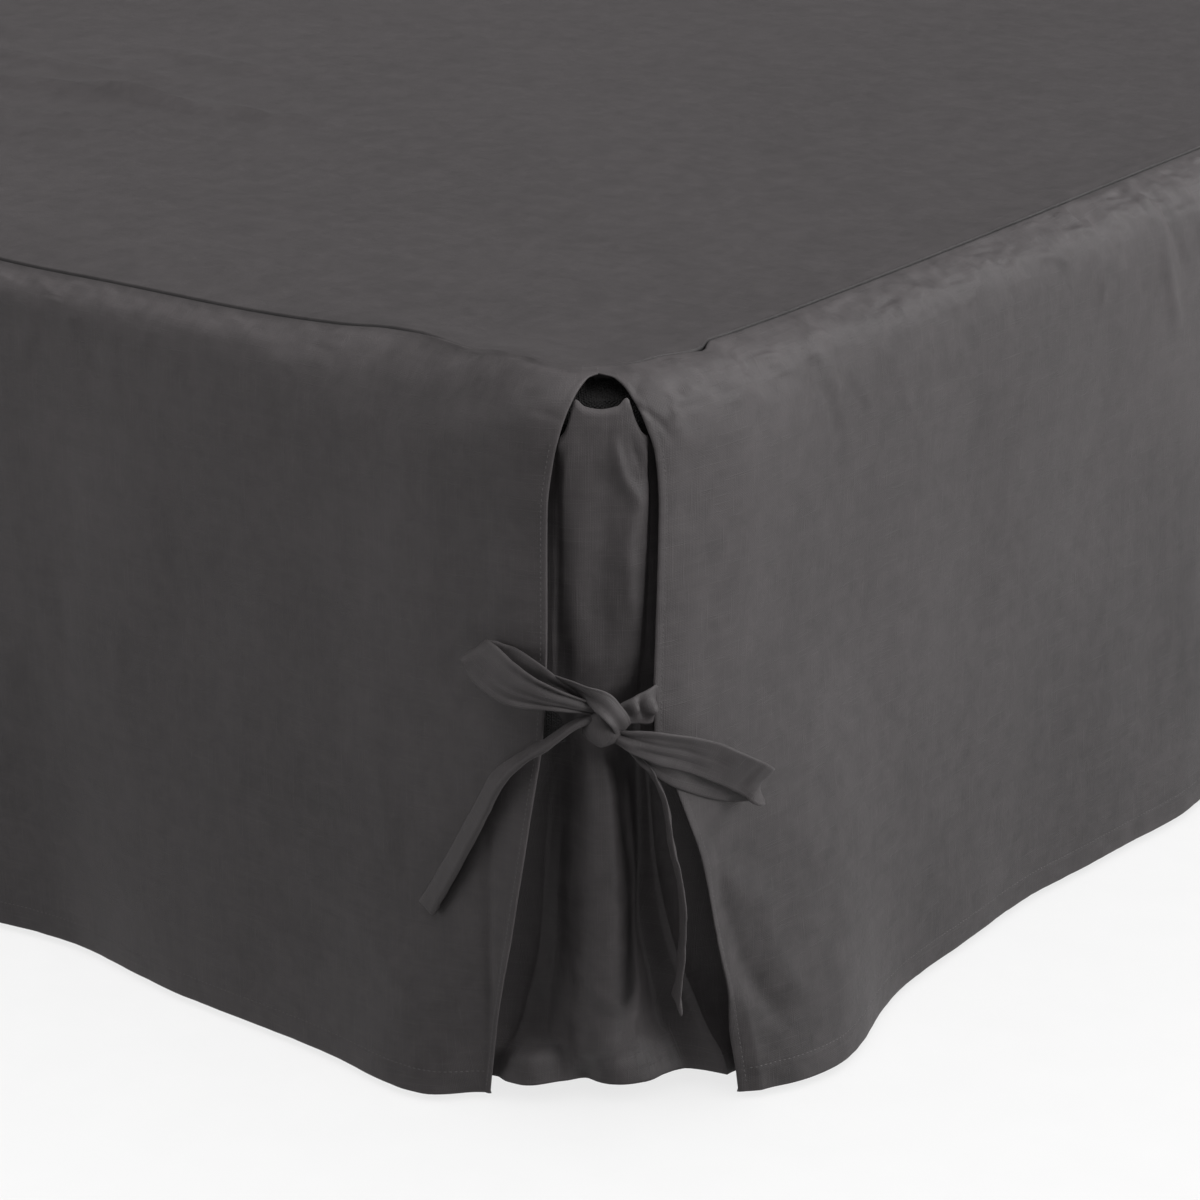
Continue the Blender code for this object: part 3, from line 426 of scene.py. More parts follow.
LEFT_LEAD_ROWS = (
    # across, out, up, width_across, width_out, width_up, width
    (-28, 13.6, 237, 0.05, 0.93, 0.36, 12), (-25, 17.5, 238.6, 0.05, 0.92, 0.38, 12),
    (-21.5, 21, 239.2, 0.08, 0.88, 0.46, 12), (-17, 25, 238.4, 0.1, 0.84, 0.53, 11),
    (-11, 28.8, 236.6, 0.2, 0.74, 0.64, 10), (-5.5, 30.6, 233.4, 0.45, 0.25, 0.85, 10),
    (-0.5, 31.8, 229.6, 0.68, -0.3, 0.66, 11), (3.4, 32, 225, 0.75, -0.5, 0.55, 11),
    (6.6, 30.6, 220.2, 0.8, -0.4, 0.45, 10), (8, 26.5, 215, 0.85, -0.3, 0.4, 9),
    (6, 19, 211.5, 0.85, -0.3, 0.35, 8),
)
LEFT_LOOP_ROWS = (
    # across, out, up, width_across, width_out, width_up, width
    (-2, 25.5, 224.5, 0.25, 0.1, 0.96, 6), (-9, 28, 227.5, 0.28, 0.1, 0.95, 7),
    (-16.7, 29, 230.2, 0.32, 0.1, 0.94, 9), (-24.8, 29.5, 232.9, 0.4, 0.12, 0.9, 12),
    (-32.2, 28, 235, 0.46, 0.14, 0.87, 15), (-37.1, 25.5, 236.1, 0.52, 0.16, 0.84, 17.5),
    (-42, 22.5, 237.5, 0.58, 0.2, 0.78, 19.5), (-46.8, 18.5, 239.5, 0.64, 0.24, 0.72, 20.5),
    (-51, 14, 242, 0.7, 0.28, 0.65, 21), (-54.8, 9.5, 245, 0.74, 0.3, 0.6, 20.5),
    (-57.4, 6, 247.6, 0.76, 0.32, 0.57, 18), (-58.4, 3.2, 248.4, 0.76, 0.34, 0.56, 15.5),
    (-56.4, 1.6, 246.8, 0.76, 0.34, 0.56, 18), (-52, 4, 244, 0.72, 0.4, 0.58, 20.5),
    (-46.4, 9, 242.8, 0.66, 0.4, 0.64, 20.5), (-41, 14.5, 242.8, 0.58, 0.36, 0.72, 20),
    (-35.4, 19.5, 242, 0.5, 0.32, 0.8, 18), (-29.8, 22.5, 240.4, 0.44, 0.26, 0.85, 14.5),
    (-23.6, 24, 237.6, 0.4, 0.2, 0.9, 10), (-16.4, 24.5, 233.6, 0.32, 0.15, 0.94, 8),
    (-6.6, 23, 226.5, 0.28, 0.12, 0.95, 7),
)
LEFT_LOOP_DENTS = (
    # way along, across (-1 to 1), half length, half width, relief
    (30, 0.92, 22, 0.14, -0.8), (34, 0.6, 22, 0.16, 1.1), (30, -0.15, 24, 0.1, 0.8),
    (34, -0.62, 22, 0.14, 0.8), (34, -0.92, 24, 0.12, -1),
)
LEFT_TAIL_ROWS = (
    # across, out, up, width_across, width_out, width_up, width. It lies folded in half along its length.
    (3, 22.5, 217.5, 0.12, 0.956, 0.25, 12), (-5, 24.5, 220.5, 0.12, 0.956, 0.25, 12),
    (-13, 26.5, 219, 0.12, 0.956, 0.25, 12), (-20.5, 26, 213.6, 0.14, 0.955, 0.23, 13),
    (-27.5, 24, 207.6, 0.17, 0.95, 0.21, 14), (-35, 19, 201, 0.2, 0.95, 0.19, 15),
    (-42.2, 13, 193, 0.24, 0.945, 0.17, 17), (-48.6, 7.5, 183.5, 0.3, 0.935, 0.13, 20),
    (-53.8, 1.5, 169.8, 0.36, 0.92, 0.08, 20), (-59.8, -4.5, 154.2, 0.41, 0.9, 0.05, 20),
    (-65.8, -11, 138.4, 0.46, 0.88, 0.02, 20), (-71.7, -17.5, 123.6, 0.5, 0.855, -0.02, 20),
    (-77.1, -23.5, 110.1, 0.54, 0.835, -0.05, 20), (-80, -26, 103.6, 0.56, 0.82, -0.06, 20),
)
KNOT_CENTRE = (-0.6, 23.0, 216.3)
KNOT_RADII = (10.4, 8.2, 10.6)
KNOT_LEAN = -52


# Reading tables and shaping fields


def smooth(share):
    share = np.clip(share, 0.0, 1.0)
    return share * share * (3 - 2 * share)


def between(low, high, share):
    return low + (high - low) * share


def ramp(value, start, end):
    """Soft rise from 0 at the start to 1 at the end, which may be the lower of the two."""
    return smooth((value - start) / (end - start))


def bell(value, half_width):
    return np.exp(-((value / half_width) ** 2))


def curve_through(places, values, at):
    """Smooth reading between values at rising places, without overshoot."""
    places = np.asarray(places, float)
    values = np.asarray(values, float)
    step = np.diff(places)
    slope = np.diff(values) / step
    tangent = np.zeros_like(values)
    tangent[0], tangent[-1] = slope[0], slope[-1]
    for i in range(1, len(values) - 1):
        if slope[i - 1] * slope[i] > 0:
            first, second = 2 * step[i] + step[i - 1], step[i] + 2 * step[i - 1]
            tangent[i] = (first + second) / (first / slope[i - 1] + second / slope[i])
    at = np.clip(at, places[0], places[-1])
    k = np.clip(np.searchsorted(places, at) - 1, 0, len(step) - 1)
    t = (at - places[k]) / step[k]
    return (
        values[k] * (1 + 2 * t) * (1 - t) ** 2
        + tangent[k] * step[k] * t * (1 - t) ** 2
        + values[k + 1] * t * t * (3 - 2 * t)
        + tangent[k + 1] * step[k] * t * t * (t - 1)
    )


def read_table(table, column, height):
    rows = sorted(table)
    return curve_through([row[0] for row in rows], [row[column] for row in rows], height)


def nearest(values, wanted):
    return int(np.argmin(np.abs(values - wanted)))


def graded(length, stops):
    """Rising distances from 0 to length. Stops are (distance, step there)."""
    places = [0.0]
    while places[-1] < length:
        places.append(places[-1] + float(np.interp(places[-1], *zip(*stops))))
    return np.array(places) * (length / places[-1])


def ripple(rng, s, t, count, wave_s, wave_t, size):
    """Sum of soft waves with random directions, between these shortest and longest waves each way."""
    total = np.zeros(np.broadcast(s, t).shape)
    for _ in range(count):
        along = 2 * math.pi / math.exp(rng.uniform(math.log(wave_s[0]), math.log(wave_s[1])))
        down = 2 * math.pi / math.exp(rng.uniform(math.log(wave_t[0]), math.log(wave_t[1])))
        side = 1 if rng.random() < 0.5 else -1
        total += np.sin(along * s + side * down * t + rng.uniform(0, 2 * math.pi))
    return total * size / math.sqrt(count / 2)


def crease(s, t, start, end, half_width, relief):
    """Soft ridge, or trough if relief is negative, along a line with tapered ends."""
    start, end = np.array(start, float), np.array(end, float)
    run = end - start
    length = np.linalg.norm(run)
    run = run / length
    along = (s - start[0]) * run[0] + (t - start[1]) * run[1]
    off = (s - start[0]) * run[1] - (t - start[1]) * run[0]
    ends = smooth(np.minimum(along, length - along) / (CREASE_TAPER * length) + CREASE_TAPER)
    bend = CREASE_BEND * length * np.sin(math.pi * np.clip(along / length, 0, 1))
    return relief * ends * bell(off - bend, half_width)


def scattered_creases(rng, s, t, count, s_range, t_range, lengths, widths, relief, lean):
    """Small creases at random places. Lean is the range of their angle from the s direction."""
    total = np.zeros(np.broadcast(s, t).shape)
    for _ in range(count):
        place = np.array([rng.uniform(*s_range), rng.uniform(*t_range)])
        angle = rng.uniform(*lean)
        half = np.array([math.cos(angle), math.sin(angle)]) * rng.uniform(*lengths) / 2
        height = rng.uniform(0.4, 1.0) * relief * (1 if rng.random() < 0.6 else -1)
        total += crease(s, t, place - half, place + half, rng.uniform(*widths), height)
    return total


def random_relief(rng, s, t, ripples, crumple):
    total = 0.0
    for row in ripples:
        total = total + ripple(rng, s, t, *row)
    for row in crumple:
        total = total + scattered_creases(rng, s, t, *row)
    return total


# Making meshes


def put(name, data):
    obj = bpy.data.objects.new(name, data)
    bpy.context.scene.collection.objects.link(obj)
    return obj


def mesh_object(name, material, points, faces, cloth=None, wear_and_painted_shading=None):
    mesh = bpy.data.meshes.new(name)
    mesh.from_pydata((np.asarray(points) * MM).tolist(), [], faces)
    if cloth is not None:
        attribute = mesh.attributes.new("cloth", "FLOAT_VECTOR", "POINT")
        attribute.data.foreach_set("vector", np.asarray(cloth, np.float32).ravel())
    # Per-point tone: paler worn edges, and also painted shade and painted highlights
    if wear_and_painted_shading is not None:
        attribute = mesh.attributes.new("wear_and_painted_shading", "FLOAT", "POINT")
        attribute.data.foreach_set("value", np.asarray(wear_and_painted_shading, np.float32).ravel())
    mesh.shade_smooth()
    mesh.materials.append(material)
    return put(name, mesh)


def joined(parts):
    """Some meshes as one. Each part has its points, its faces and then any other values of its points."""
    faces, count = [], 0
    for points, some_faces, *_ in parts:
        faces += [[int(i) + count for i in face] for face in some_faces]
        count += len(points)
    points, *others = (np.concatenate([part[k] for part in parts]) for k in range(len(parts[0])) if k != 1)
    return points, faces, *others


def unit(vectors):
    return vectors / np.maximum(np.linalg.norm(vectors, axis=-1, keepdims=True), 1e-9)


def grid_normals(grid):
    return unit(np.cross(np.gradient(grid, axis=0), np.gradient(grid, axis=1)))


def way_along(points):
    """How far each point is along the line through all of them."""
    return np.concatenate([[0.0], np.cumsum(np.linalg.norm(np.diff(points, axis=0), axis=1))])


def cloth_at(across, down, apart):
    """Places in the cloth that its weave and dye follow, in metres."""
    return np.stack(np.broadcast_arrays(across, down, apart), axis=-1) * MM


def sheet_parts(outer, inner, cloth, wear_and_painted_shading):
    """Points, faces, cloth, and wear and painted shading, of a closed sheet between two grids."""
    rows, columns = outer.shape[:2]
    count = rows * columns
    index = np.arange(count).reshape(rows, columns)
    a, b, c, d = index[:-1, :-1], index[1:, :-1], index[1:, 1:], index[:-1, 1:]
    front = np.stack([a, b, c, d], axis=-1).reshape(-1, 4)
    back = np.stack([a, d, c, b], axis=-1).reshape(-1, 4) + count
    rims = []
    for edge, flip in ((index[:, 0], False), (index[:, -1], True), (index[0], True), (index[-1], False)):
        rim = np.stack([edge[:-1], edge[:-1] + count, edge[1:] + count, edge[1:]], axis=-1)
        rims.append(rim[:, ::-1] if flip else rim)
    faces = np.concatenate([front, back, *rims]).tolist()
    points = np.concatenate([outer.reshape(-1, 3), inner.reshape(-1, 3)])
    return points, faces, np.concatenate([cloth.reshape(-1, 3)] * 2), np.concatenate([wear_and_painted_shading.ravel()] * 2)


# Skirts


def over_seam(side, along, outside, height):
    """Points over the seam's path: along it from the side's middle, outside it, and up from the hem."""
    _, half_along, half_out, degrees, *_ = side
    straight = half_along - CORNER_RADIUS
    turn = np.maximum(np.abs(along) - straight, 0) / CORNER_RADIUS
    x = np.sign(along) * (np.minimum(np.abs(along), straight) + (CORNER_RADIUS + outside) * np.sin(turn))
    y = -(half_out - CORNER_RADIUS + (CORNER_RADIUS + outside) * np.cos(turn))
    c, s = math.cos(math.radians(degrees)), math.sin(math.radians(degrees))
    z = HEM_CLEARANCE + height + np.zeros_like(x)
    return np.stack([c * x - s * y, s * x + c * y, z], axis=-1)


def to_corner(half_along):
    """The seam's length from a side's middle to the middle of its corner."""
    return half_along - CORNER_RADIUS + CORNER_PATH


def slit_end(half_along):
    return to_corner(half_along) - NOMINAL_EDGE


def shifted(along, half_along, height):
    """The column's place at this height: the nearer slit edge draws it along."""
    left = read_table(LEFT_END_EDGE, 1, height)
    right = read_table(RIGHT_END_EDGE, 1, height)
    shift = np.where(along < 0, left, right) - NOMINAL_EDGE
    pull = 1 - smooth((slit_end(half_along) - np.abs(along)) / EDGE_REACH)
    return along - shift * pull * np.where(along < 0, -1, 1)


def fold_reach(along, half_along, height, folds):
    from_left = along + half_along
    from_right = half_along - along
    down = np.clip(1 - height / DROP, 0, 1)
    lean_length = 2 * half_along - LEAN_FROM_LEFT_END - LEAN_FROM_RIGHT_END
    total = LEAN_AT_HEM * (1 - smooth((from_left - LEAN_FROM_LEFT_END) / lean_length)) * down**LEAN_POWER
    for distance, table in ((from_left, FOLDS_FROM_LEFT), (from_right, FOLDS_FROM_RIGHT)):
        for crest, reach, half_width, start in table[folds]:
            growth = np.clip(1 - height / start, 0, 1) ** FOLD_POWER
            total = total + reach * growth * bell(distance - crest, half_width)
    return total


def hang_outside(along, half_along, height, folds):
    """Distance of the hanging cloth's outer face from the seam line."""
    corner = to_corner(half_along)
    turn = between(EDGE_TURN_AT_HEM, EDGE_TURN_AT_TOP, height / DROP)
    free = ROLL_RADIUS + fold_reach(along, half_along, height, folds)
    total = free
    for distance, table in ((along + corner, LEFT_END_EDGE), (corner - along, RIGHT_END_EDGE)):
        inside = distance - read_table(table, 1, height)
        total = total + (read_table(table, 2, height) - free) * bell(inside, turn)
    return total


def skirt_columns(half_along, fine_end):
    """Places along a skirt, closer together at its slit edges and in the half that has small creases."""
    end = slit_end(half_along)
    left = -end + graded(end, FINE_COLUMNS if fine_end == "left" else PLAIN_COLUMNS)
    right = end - graded(end, FINE_COLUMNS if fine_end == "right" else PLAIN_COLUMNS)[::-1]
    return np.concatenate([left, right[1:]])


def by_end(tables, plain, name, along, half_along, column):
    """Reading of a side's tables by distance from the middle of the nearer corner."""
    distance = to_corner(half_along) - np.abs(along)
    left = tables.get((name, "left"), plain)
    right = tables.get((name, "right"), plain)
    return np.where(along < 0, read_table(left, column, distance), read_table(right, column, distance))


def seam_wander(name, along, half_along):
    """How far the seam stands inwards and up from its true line."""
    inwards = by_end(SEAM_WANDER, PLAIN_WANDER, name, along, half_along, 1)
    up = by_end(SEAM_WANDER, PLAIN_WANDER, name, along, half_along, 2)
    return inwards, up


def seam_groove(name, along, half_along):
    return by_end(SEAM_GROOVE, PLAIN_GROOVE, name, along, half_along, 1)


def seam_dip(groove, distance):
    """How far the cloth goes down into the seam's groove, by distance from the seam."""
    lip = np.clip(1 - distance / SEAM_LIP, 0, 1)
    return groove * SEAM_DEPTH * (1 - np.sqrt(1 - lip * lip))


def shoulder(along, half_along, place):
    """Out and down from the seam, at a place (0 to 7) over the shoulder."""
    distance = to_corner(half_along) - np.abs(along)
    sections = {}
    for end, rows in SHOULDERS.items():
        near, middle, far = (row[0] for row in rows)
        first, second = ramp(distance, near, middle), ramp(distance, middle, far)
        sections[end] = []
        for values in zip(*(zip(*section) for _, section in rows)):
            read = [curve_through(SHOULDER_PLACES, some, place) for some in values]
            sections[end].append(between(between(read[0], read[1], first), read[2], second))
    share = smooth((along + 0.4 * half_along) / (0.8 * half_along))
    return [between(left, right, share) for left, right in zip(sections["left"], sections["right"])]


def clear_of_base(out, drop, distance):
    """The cloth's section moved outwards where it would pass through the base's rounded top edge."""
    aside, above = out - BASE_EDGE_OUT, np.maximum(BASE_EDGE_DROP - drop, 0)
    radius = np.hypot(aside, above)
    wanted = BASE_EDGE_RADIUS + BASE_CLEARANCE
    short = BASE_EDGE_SOFTNESS * np.logaddexp(0, (wanted - radius) / BASE_EDGE_SOFTNESS)
    short = short * ramp(distance, *BASE_CLEARED) * ramp(aside, 0, BASE_ASIDE)
    return out + short * aside / radius, drop - short * above / radius


def skirt_rows():
    """Rows down a skirt: its kind, then its depth under the seam, place over the shoulder or height."""
    rows = [(UNDER, SEAM_ALLOWANCE), (UNDER, 0.0)]
    rows += [(OVER, place) for place in (*SEAM_ROWS, *SHOULDER_ROWS)]
    rows += [(HANGING, height) for height in graded(DROP - SHOULDER_DROP, HANGING_ROWS)[::-1][1:]]
    return np.array(rows, float)


def skirt_relief(side, along, from_edge, height, way):
    """How far the outer face stands off its smooth form: creases, crumple, hems."""
    name, half_along, _, _, _, _, seed = side
    rng = np.random.default_rng(seed)
    from_left = along + half_along
    total = 0.0
    for count, wave_s, wave_t, size, start, whole in SKIRT_RIPPLES:
        begun = ramp(way, start, whole)
        total = total + ripple(rng, along, way, count, wave_s, wave_t, size) * begun
    centimetres = int(2 * half_along / 10)
    for count, t_range, lengths, widths, relief, lean, at_shoulder in SKIRT_CRUMPLE:
        spots = (int(centimetres * count), (0, 2 * half_along), t_range)
        some = scattered_creases(rng, from_left, way, *spots, lengths, widths, relief, lean)
        total += some * (SHOULDER_CRUMPLE[name] if at_shoulder else 1)
    for end in ("left", "right"):
        distance = from_left if end == "left" else half_along - along
        for s0, t0, s1, t1, width, relief in CREASES.get((name, end), ()):
            total += crease(distance, height, (s0, t0), (s1, t1), width, relief)
    turned = np.abs(to_corner(half_along) - along - read_table(TURN_CREASE, 1, height))
    fade = ramp(height, TURN_CREASE_TOP, TURN_CREASE_WHOLE) * smooth((from_edge - 3) / 6 + 0.3)
    total -= TURN_CREASE_DIP * fade * bell(turned, TURN_CREASE_WIDTH)
    curl = np.where(along < 0, np.clip(1 - from_edge / EDGE_CURL_WIDTH, 0, 1), 0) ** EDGE_CURL_POWER
    total -= EDGE_CURL_DEPTH * curl * ramp(height, EDGE_CURL_FROM, EDGE_CURL_WHOLE)
    open_slit = ramp(way, SLIT_OPENS, SLIT_OPEN)
    for distance, hem in ((from_edge, HEM_WIDTH), (height, BOTTOM_HEM)):
        total += HEM_RISE * open_slit * smooth((hem - distance) / 1.2) * smooth(distance / 2)
        total -= STITCH_DIP * open_slit * bell(distance - hem + STITCH_LINE, STITCH_DIP_WIDTH)
        inside = np.clip(EDGE_ROUND - distance, 0, EDGE_ROUND)
        total -= open_slit * (EDGE_ROUND - np.sqrt(EDGE_ROUND**2 - inside**2))
    return total * smooth(way / 5 - 0.4)


def skirt_surface(side):
    name, half_along, _, degrees, folds, fine_end, _ = side
    columns = skirt_columns(half_along, fine_end)
    rows = skirt_rows()
    nominal = np.broadcast_to(columns, (len(rows), len(columns)))
    kind, value = (np.broadcast_to(rows[:, k : k + 1], nominal.shape) for k in (0, 1))
    place = np.where(kind == OVER, value, np.where(kind == UNDER, 0.0, SHOULDER_PLACES[-1]))
    out, drop = shoulder(nominal, half_along, place)
    height = np.where(kind == HANGING, value, DROP - drop)
    along = shifted(nominal, half_along, height)
    at_seam = shifted(nominal, half_along, DROP)
    from_edge = slit_end(half_along) - np.abs(nominal)
    low = np.minimum(height, DROP - SHOULDER_DROP)
    bulge = (out - ROLL_RADIUS) * ramp(height, SHOULDER_GONE, DROP - SHOULDER_DROP)
    hanging = hang_outside(along, half_along, low, folds)
    flared = out + (hanging - ROLL_RADIUS) * ramp(place, FLARE_FROM_PLACE, SHOULDER_PLACES[-1])
    out = np.where(kind == HANGING, hanging + bulge, flared)
    step = np.hypot(np.diff(out, axis=0), np.diff(height, axis=0))
    way = np.concatenate([np.zeros((1, len(columns))), np.cumsum(step, axis=0)])
    inwards, up = seam_wander(name, at_seam, half_along)
    fade = 1 - smooth(way / WANDER_REACH)
    from_corner = to_corner(half_along) - np.abs(at_seam)
    cleared, cleared_drop = clear_of_base(out - inwards * fade, DROP - height - up * fade, from_corner)
    out = np.where(kind == OVER, cleared, out - inwards * fade)
    height_here = np.where(kind == OVER, DROP - cleared_drop, height + up * fade)
    slope = np.arctan2(-np.gradient(height_here, axis=0), np.maximum(np.gradient(out, axis=0), 1e-6))
    slope = np.where(kind == HANGING, math.pi / 2, np.clip(slope, 0, math.pi / 2))
    groove = seam_groove(name, at_seam, half_along)
    down = seam_dip(groove, way)
    bead = SEAM_BEAD * bell(way - SEAM_BEAD_FROM_SEAM, SEAM_BEAD_WIDTH)
    bead *= 1 - np.clip(groove / GROOVE_WITH_NO_BEAD, 0, 1)
    under = np.where(kind == UNDER, value + UNDER_SEAM, 0.0)
    relief = skirt_relief(side, along, from_edge, height, way)
    outside = out + relief * np.sin(slope) + SKIRT_LIFT
    outer = over_seam(side, along, outside, height_here + relief * np.cos(slope) - down + bead - under)
    hem = np.maximum(smooth((HEM_WIDTH - from_edge) / HEM_STEP), smooth((BOTTOM_HEM - height) / HEM_STEP))
    hem = hem * ramp(way, *HEM_THICKENS)
    thick = between(CLOTH, HEM_CLOTH, hem)
    normal = grid_normals(outer)
    inner = outer - normal * thick[..., None]
    wear_and_painted_shading = np.exp(-np.minimum(from_edge, height) / WORN_EDGE) * ramp(way, SLIT_OPENS, SLIT_OPEN)
    # Painted shade: the cloth is made darker towards the bottom of each skirt, most on the right side
    wear_and_painted_shading -= LOW_SHADE[name] * ramp(way, LOW_SHADE_FROM, LOW_SHADE_WHOLE)
    # Painted shade: a dark line along the seam's groove
    wear_and_painted_shading -= SEAM_SHADE * groove * bell(way, SEAM_SHADE_WIDTH)
    # Painted highlight: a paler, uneven band over the shoulder just under the seam, weaker near the corner
    uneven = 1 + ripple(np.random.default_rng(SHOULDER_HIGHLIGHT_SEED), along, way, *SHOULDER_HIGHLIGHT_RIPPLE)
    uneven *= between(SHOULDER_HIGHLIGHT_AT_CORNER, 1, ramp(from_corner, *SHOULDER_HIGHLIGHT_CORNER))
    highlight_band = ramp(way, *SHOULDER_HIGHLIGHT_COMES) * (1 - ramp(way, *SHOULDER_HIGHLIGHT_GOES))
    wear_and_painted_shading += SHOULDER_HIGHLIGHT[name] * uneven * highlight_band
    cloth = cloth_at(along, way, SKIRTS_APART * (degrees + 1))
    return outer, inner, normal, cloth, wear_and_painted_shading, from_edge, height


def stitch_row(points, normals):
    """Points and faces of small raised stitches along a line of points."""
    way = way_along(points)
    starts = np.arange(STITCH_PITCH, way[-1] - STITCH_PITCH, STITCH_PITCH)

    def at(place, values):
        return np.stack([np.interp(place, way, values[:, k]) for k in range(3)], axis=-1)

    first, last = at(starts, points), at(starts + STITCH_LENGTH, points)
    normal = at(starts + STITCH_LENGTH / 2, normals)
    across = np.cross(unit(last - first), normal)
    made = []
    foot, back = (0.3, STITCH_FOOT), (1.0, STITCH_LIFT)
    for share, (wide, high) in ((0.0, foot), (0.25, back), (0.75, back), (1.0, foot)):
        middle = first + (last - first) * share
        aside = across * STITCH_WIDTH * wide
        made += [
            middle + aside + normal * (high + STITCH_FOOT),
            middle + normal * (high + STITCH_LIFT),
            middle - aside + normal * (high + STITCH_FOOT),
        ]
    points = np.stack(made, axis=1).reshape(-1, 3)
    base = np.arange(len(starts))[:, None] * len(made)
    faces = []
    for k in range(3):
        low, high = 3 * k, 3 * k + 3
        faces += [[low, low + 1, high + 1, high], [low + 1, low + 2, high + 2, high + 1]]
    quads = (base[:, None, :] + np.array(faces)[None]).reshape(-1, 4)
    return points, quads


def make_skirts(material, thread):
    for side in SIDES:
        name, half_along = side[:2]
        outer, inner, normal, cloth, wear_and_painted_shading, from_edge, height = skirt_surface(side)
        skirt = mesh_object(f"cover_skirt_{name}", material, *sheet_parts(outer, inner, cloth, wear_and_painted_shading))
        ends = from_edge[0, : from_edge.shape[1] // 2]
        column = nearest(ends, HEM_WIDTH - STITCH_LINE)
        start, stop = nearest(height[:, 0], DROP - STITCHED_FROM), nearest(height[:, 0], 2)
        low = nearest(height[:, 0], BOTTOM_HEM - STITCH_LINE)
        lines = [np.s_[start:stop, k] for k in (column, from_edge.shape[1] - 1 - column)]
        lines.append(np.s_[low, column:-column])
        rows = [stitch_row(outer[line], normal[line]) for line in lines]
        stitches = mesh_object(f"hem_stitches_{name}", thread, *joined(rows))
        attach(skirt, "root")
        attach(stitches, "root")
        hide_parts(f"skirt_{name}")


# Top panel


def make_top(material):
    axes = []
    for half in (HALF_WIDTH, HALF_LENGTH):
        near = graded(half, TOP_STEPS)
        axes.append(np.concatenate([-half + near, (half - near[::-1])[1:]]))
    x, y = np.meshgrid(axes[0], axes[1][::-1])
    corner_x = HALF_WIDTH - CORNER_RADIUS
    corner_y = HALF_LENGTH - CORNER_RADIUS
    u = np.clip((np.abs(x) - corner_x) / CORNER_RADIUS, 0, 1)
    v = np.clip((np.abs(y) - corner_y) / CORNER_RADIUS, 0, 1)
    in_corner = (u > 0) & (v > 0)
    round_x = corner_x + CORNER_RADIUS * u * np.sqrt(1 - v * v / 2)
    round_y = corner_y + CORNER_RADIUS * v * np.sqrt(1 - u * u / 2)
    px = np.where(in_corner, np.sign(x) * round_x, x)
    py = np.where(in_corner, np.sign(y) * round_y, y)
    ring = np.hypot(np.maximum(np.abs(px) - corner_x, 0), np.maximum(np.abs(py) - corner_y, 0))
    edge_gap = np.minimum(HALF_WIDTH - np.abs(px), HALF_LENGTH - np.abs(py))
    from_rim = np.maximum(np.where(in_corner, CORNER_RADIUS - ring, edge_gap), 0)
    rng = np.random.default_rng(TOP_SEED)
    relief = random_relief(rng, px, py, TOP_RIPPLES, TOP_CRUMPLE)
    for x0, y0, x1, y1, width, height in TOP_WRINKLES:
        relief += crease(px, py, (x0, y0), (x1, y1), width, height)
    relief = TOP_SOFTNESS * (np.logaddexp(0, relief / TOP_SOFTNESS) - math.log(2))
    qx, qy = np.abs(px) - corner_x, np.abs(py) - corner_y
    in_bend = np.arctan2(np.maximum(qy, 0), np.maximum(qx, 1e-9))
    angle = np.where(in_corner, in_bend, np.where(qx > qy, 0, math.pi / 2))
    inwards, up, groove = (np.zeros_like(px) for _ in range(3))
    for name, half_along, *_ in SIDES:
        across_x = name in ("right", "left")
        mine = (angle < math.pi / 4) if across_x else (angle >= math.pi / 4)
        mine = mine & ((px > 0) == (name == "right") if across_x else (py > 0) == (name == "head"))
        run = {"foot": px, "right": py, "head": -px, "left": -py}[name]
        theta = angle if across_x else math.pi / 2 - angle
        straight = half_along - CORNER_RADIUS
        along = np.where(in_corner, np.sign(run) * (straight + CORNER_RADIUS * theta), run)
        here = seam_wander(name, along, half_along)
        inwards = np.where(mine, here[0], inwards)
        up = np.where(mine, here[1], up)
        groove = np.where(mine, seam_groove(name, along, half_along), groove)
    fade = 1 - smooth(from_rim / WANDER_REACH)
    inside = ramp(from_rim, *TOP_RELIEF_RISE)
    dip = seam_dip(TOP_GROOVE + groove, from_rim)
    swell = TOP_SWELL * np.exp(-((from_rim - TOP_SWELL_FROM_RIM) ** 2) / TOP_SWELL_SPREAD)
    z = HEM_CLEARANCE + DROP + relief * inside + swell - dip + up * fade
    sx, sy = np.sign(px), np.sign(py)
    moved_x = px - sx * np.cos(angle) * inwards * fade
    moved_y = py - sy * np.sin(angle) * inwards * fade
    outer = np.stack([moved_x, moved_y, z], axis=-1)
    under = SEAM_ALLOWANCE * (from_rim < 0.01)
    inner = outer - np.array([0.0, 0.0, 1.0]) * (CLOTH + under)[..., None]
    cloth = cloth_at(px, py, TOP_APART)
    # Painted shade: a dark line along the rim where the seam's groove is
    wear_and_painted_shading = -SEAM_SHADE * groove * bell(from_rim, SEAM_SHADE_WIDTH)
    top = mesh_object("cover_top", material, *sheet_parts(outer, inner, cloth, wear_and_painted_shading))
    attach(top, "root")
    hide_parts("top_panel")


# Corner inserts


def corner_place(distance, outside, height):
    """Points near the foot's right corner, relative to the seam's sharp corner there."""
    foot, right = SIDES[:2]
    on_foot = over_seam(foot, to_corner(HALF_WIDTH) + distance, outside, height)
    on_right = over_seam(right, distance - to_corner(HALF_LENGTH), outside, height)
    chosen = np.where((distance < 0)[..., None], on_foot, on_right)
    return chosen - np.array([HALF_WIDTH, -HALF_LENGTH, 0])


def slit_sides(height):
    """Where the slit's left and right edges are, from the middle of the corner."""
    height = np.minimum(height, INSERT_TAB_FROM)
    return -read_table(RIGHT_END_EDGE, 1, height), read_table(LEFT_END_EDGE, 1, height)


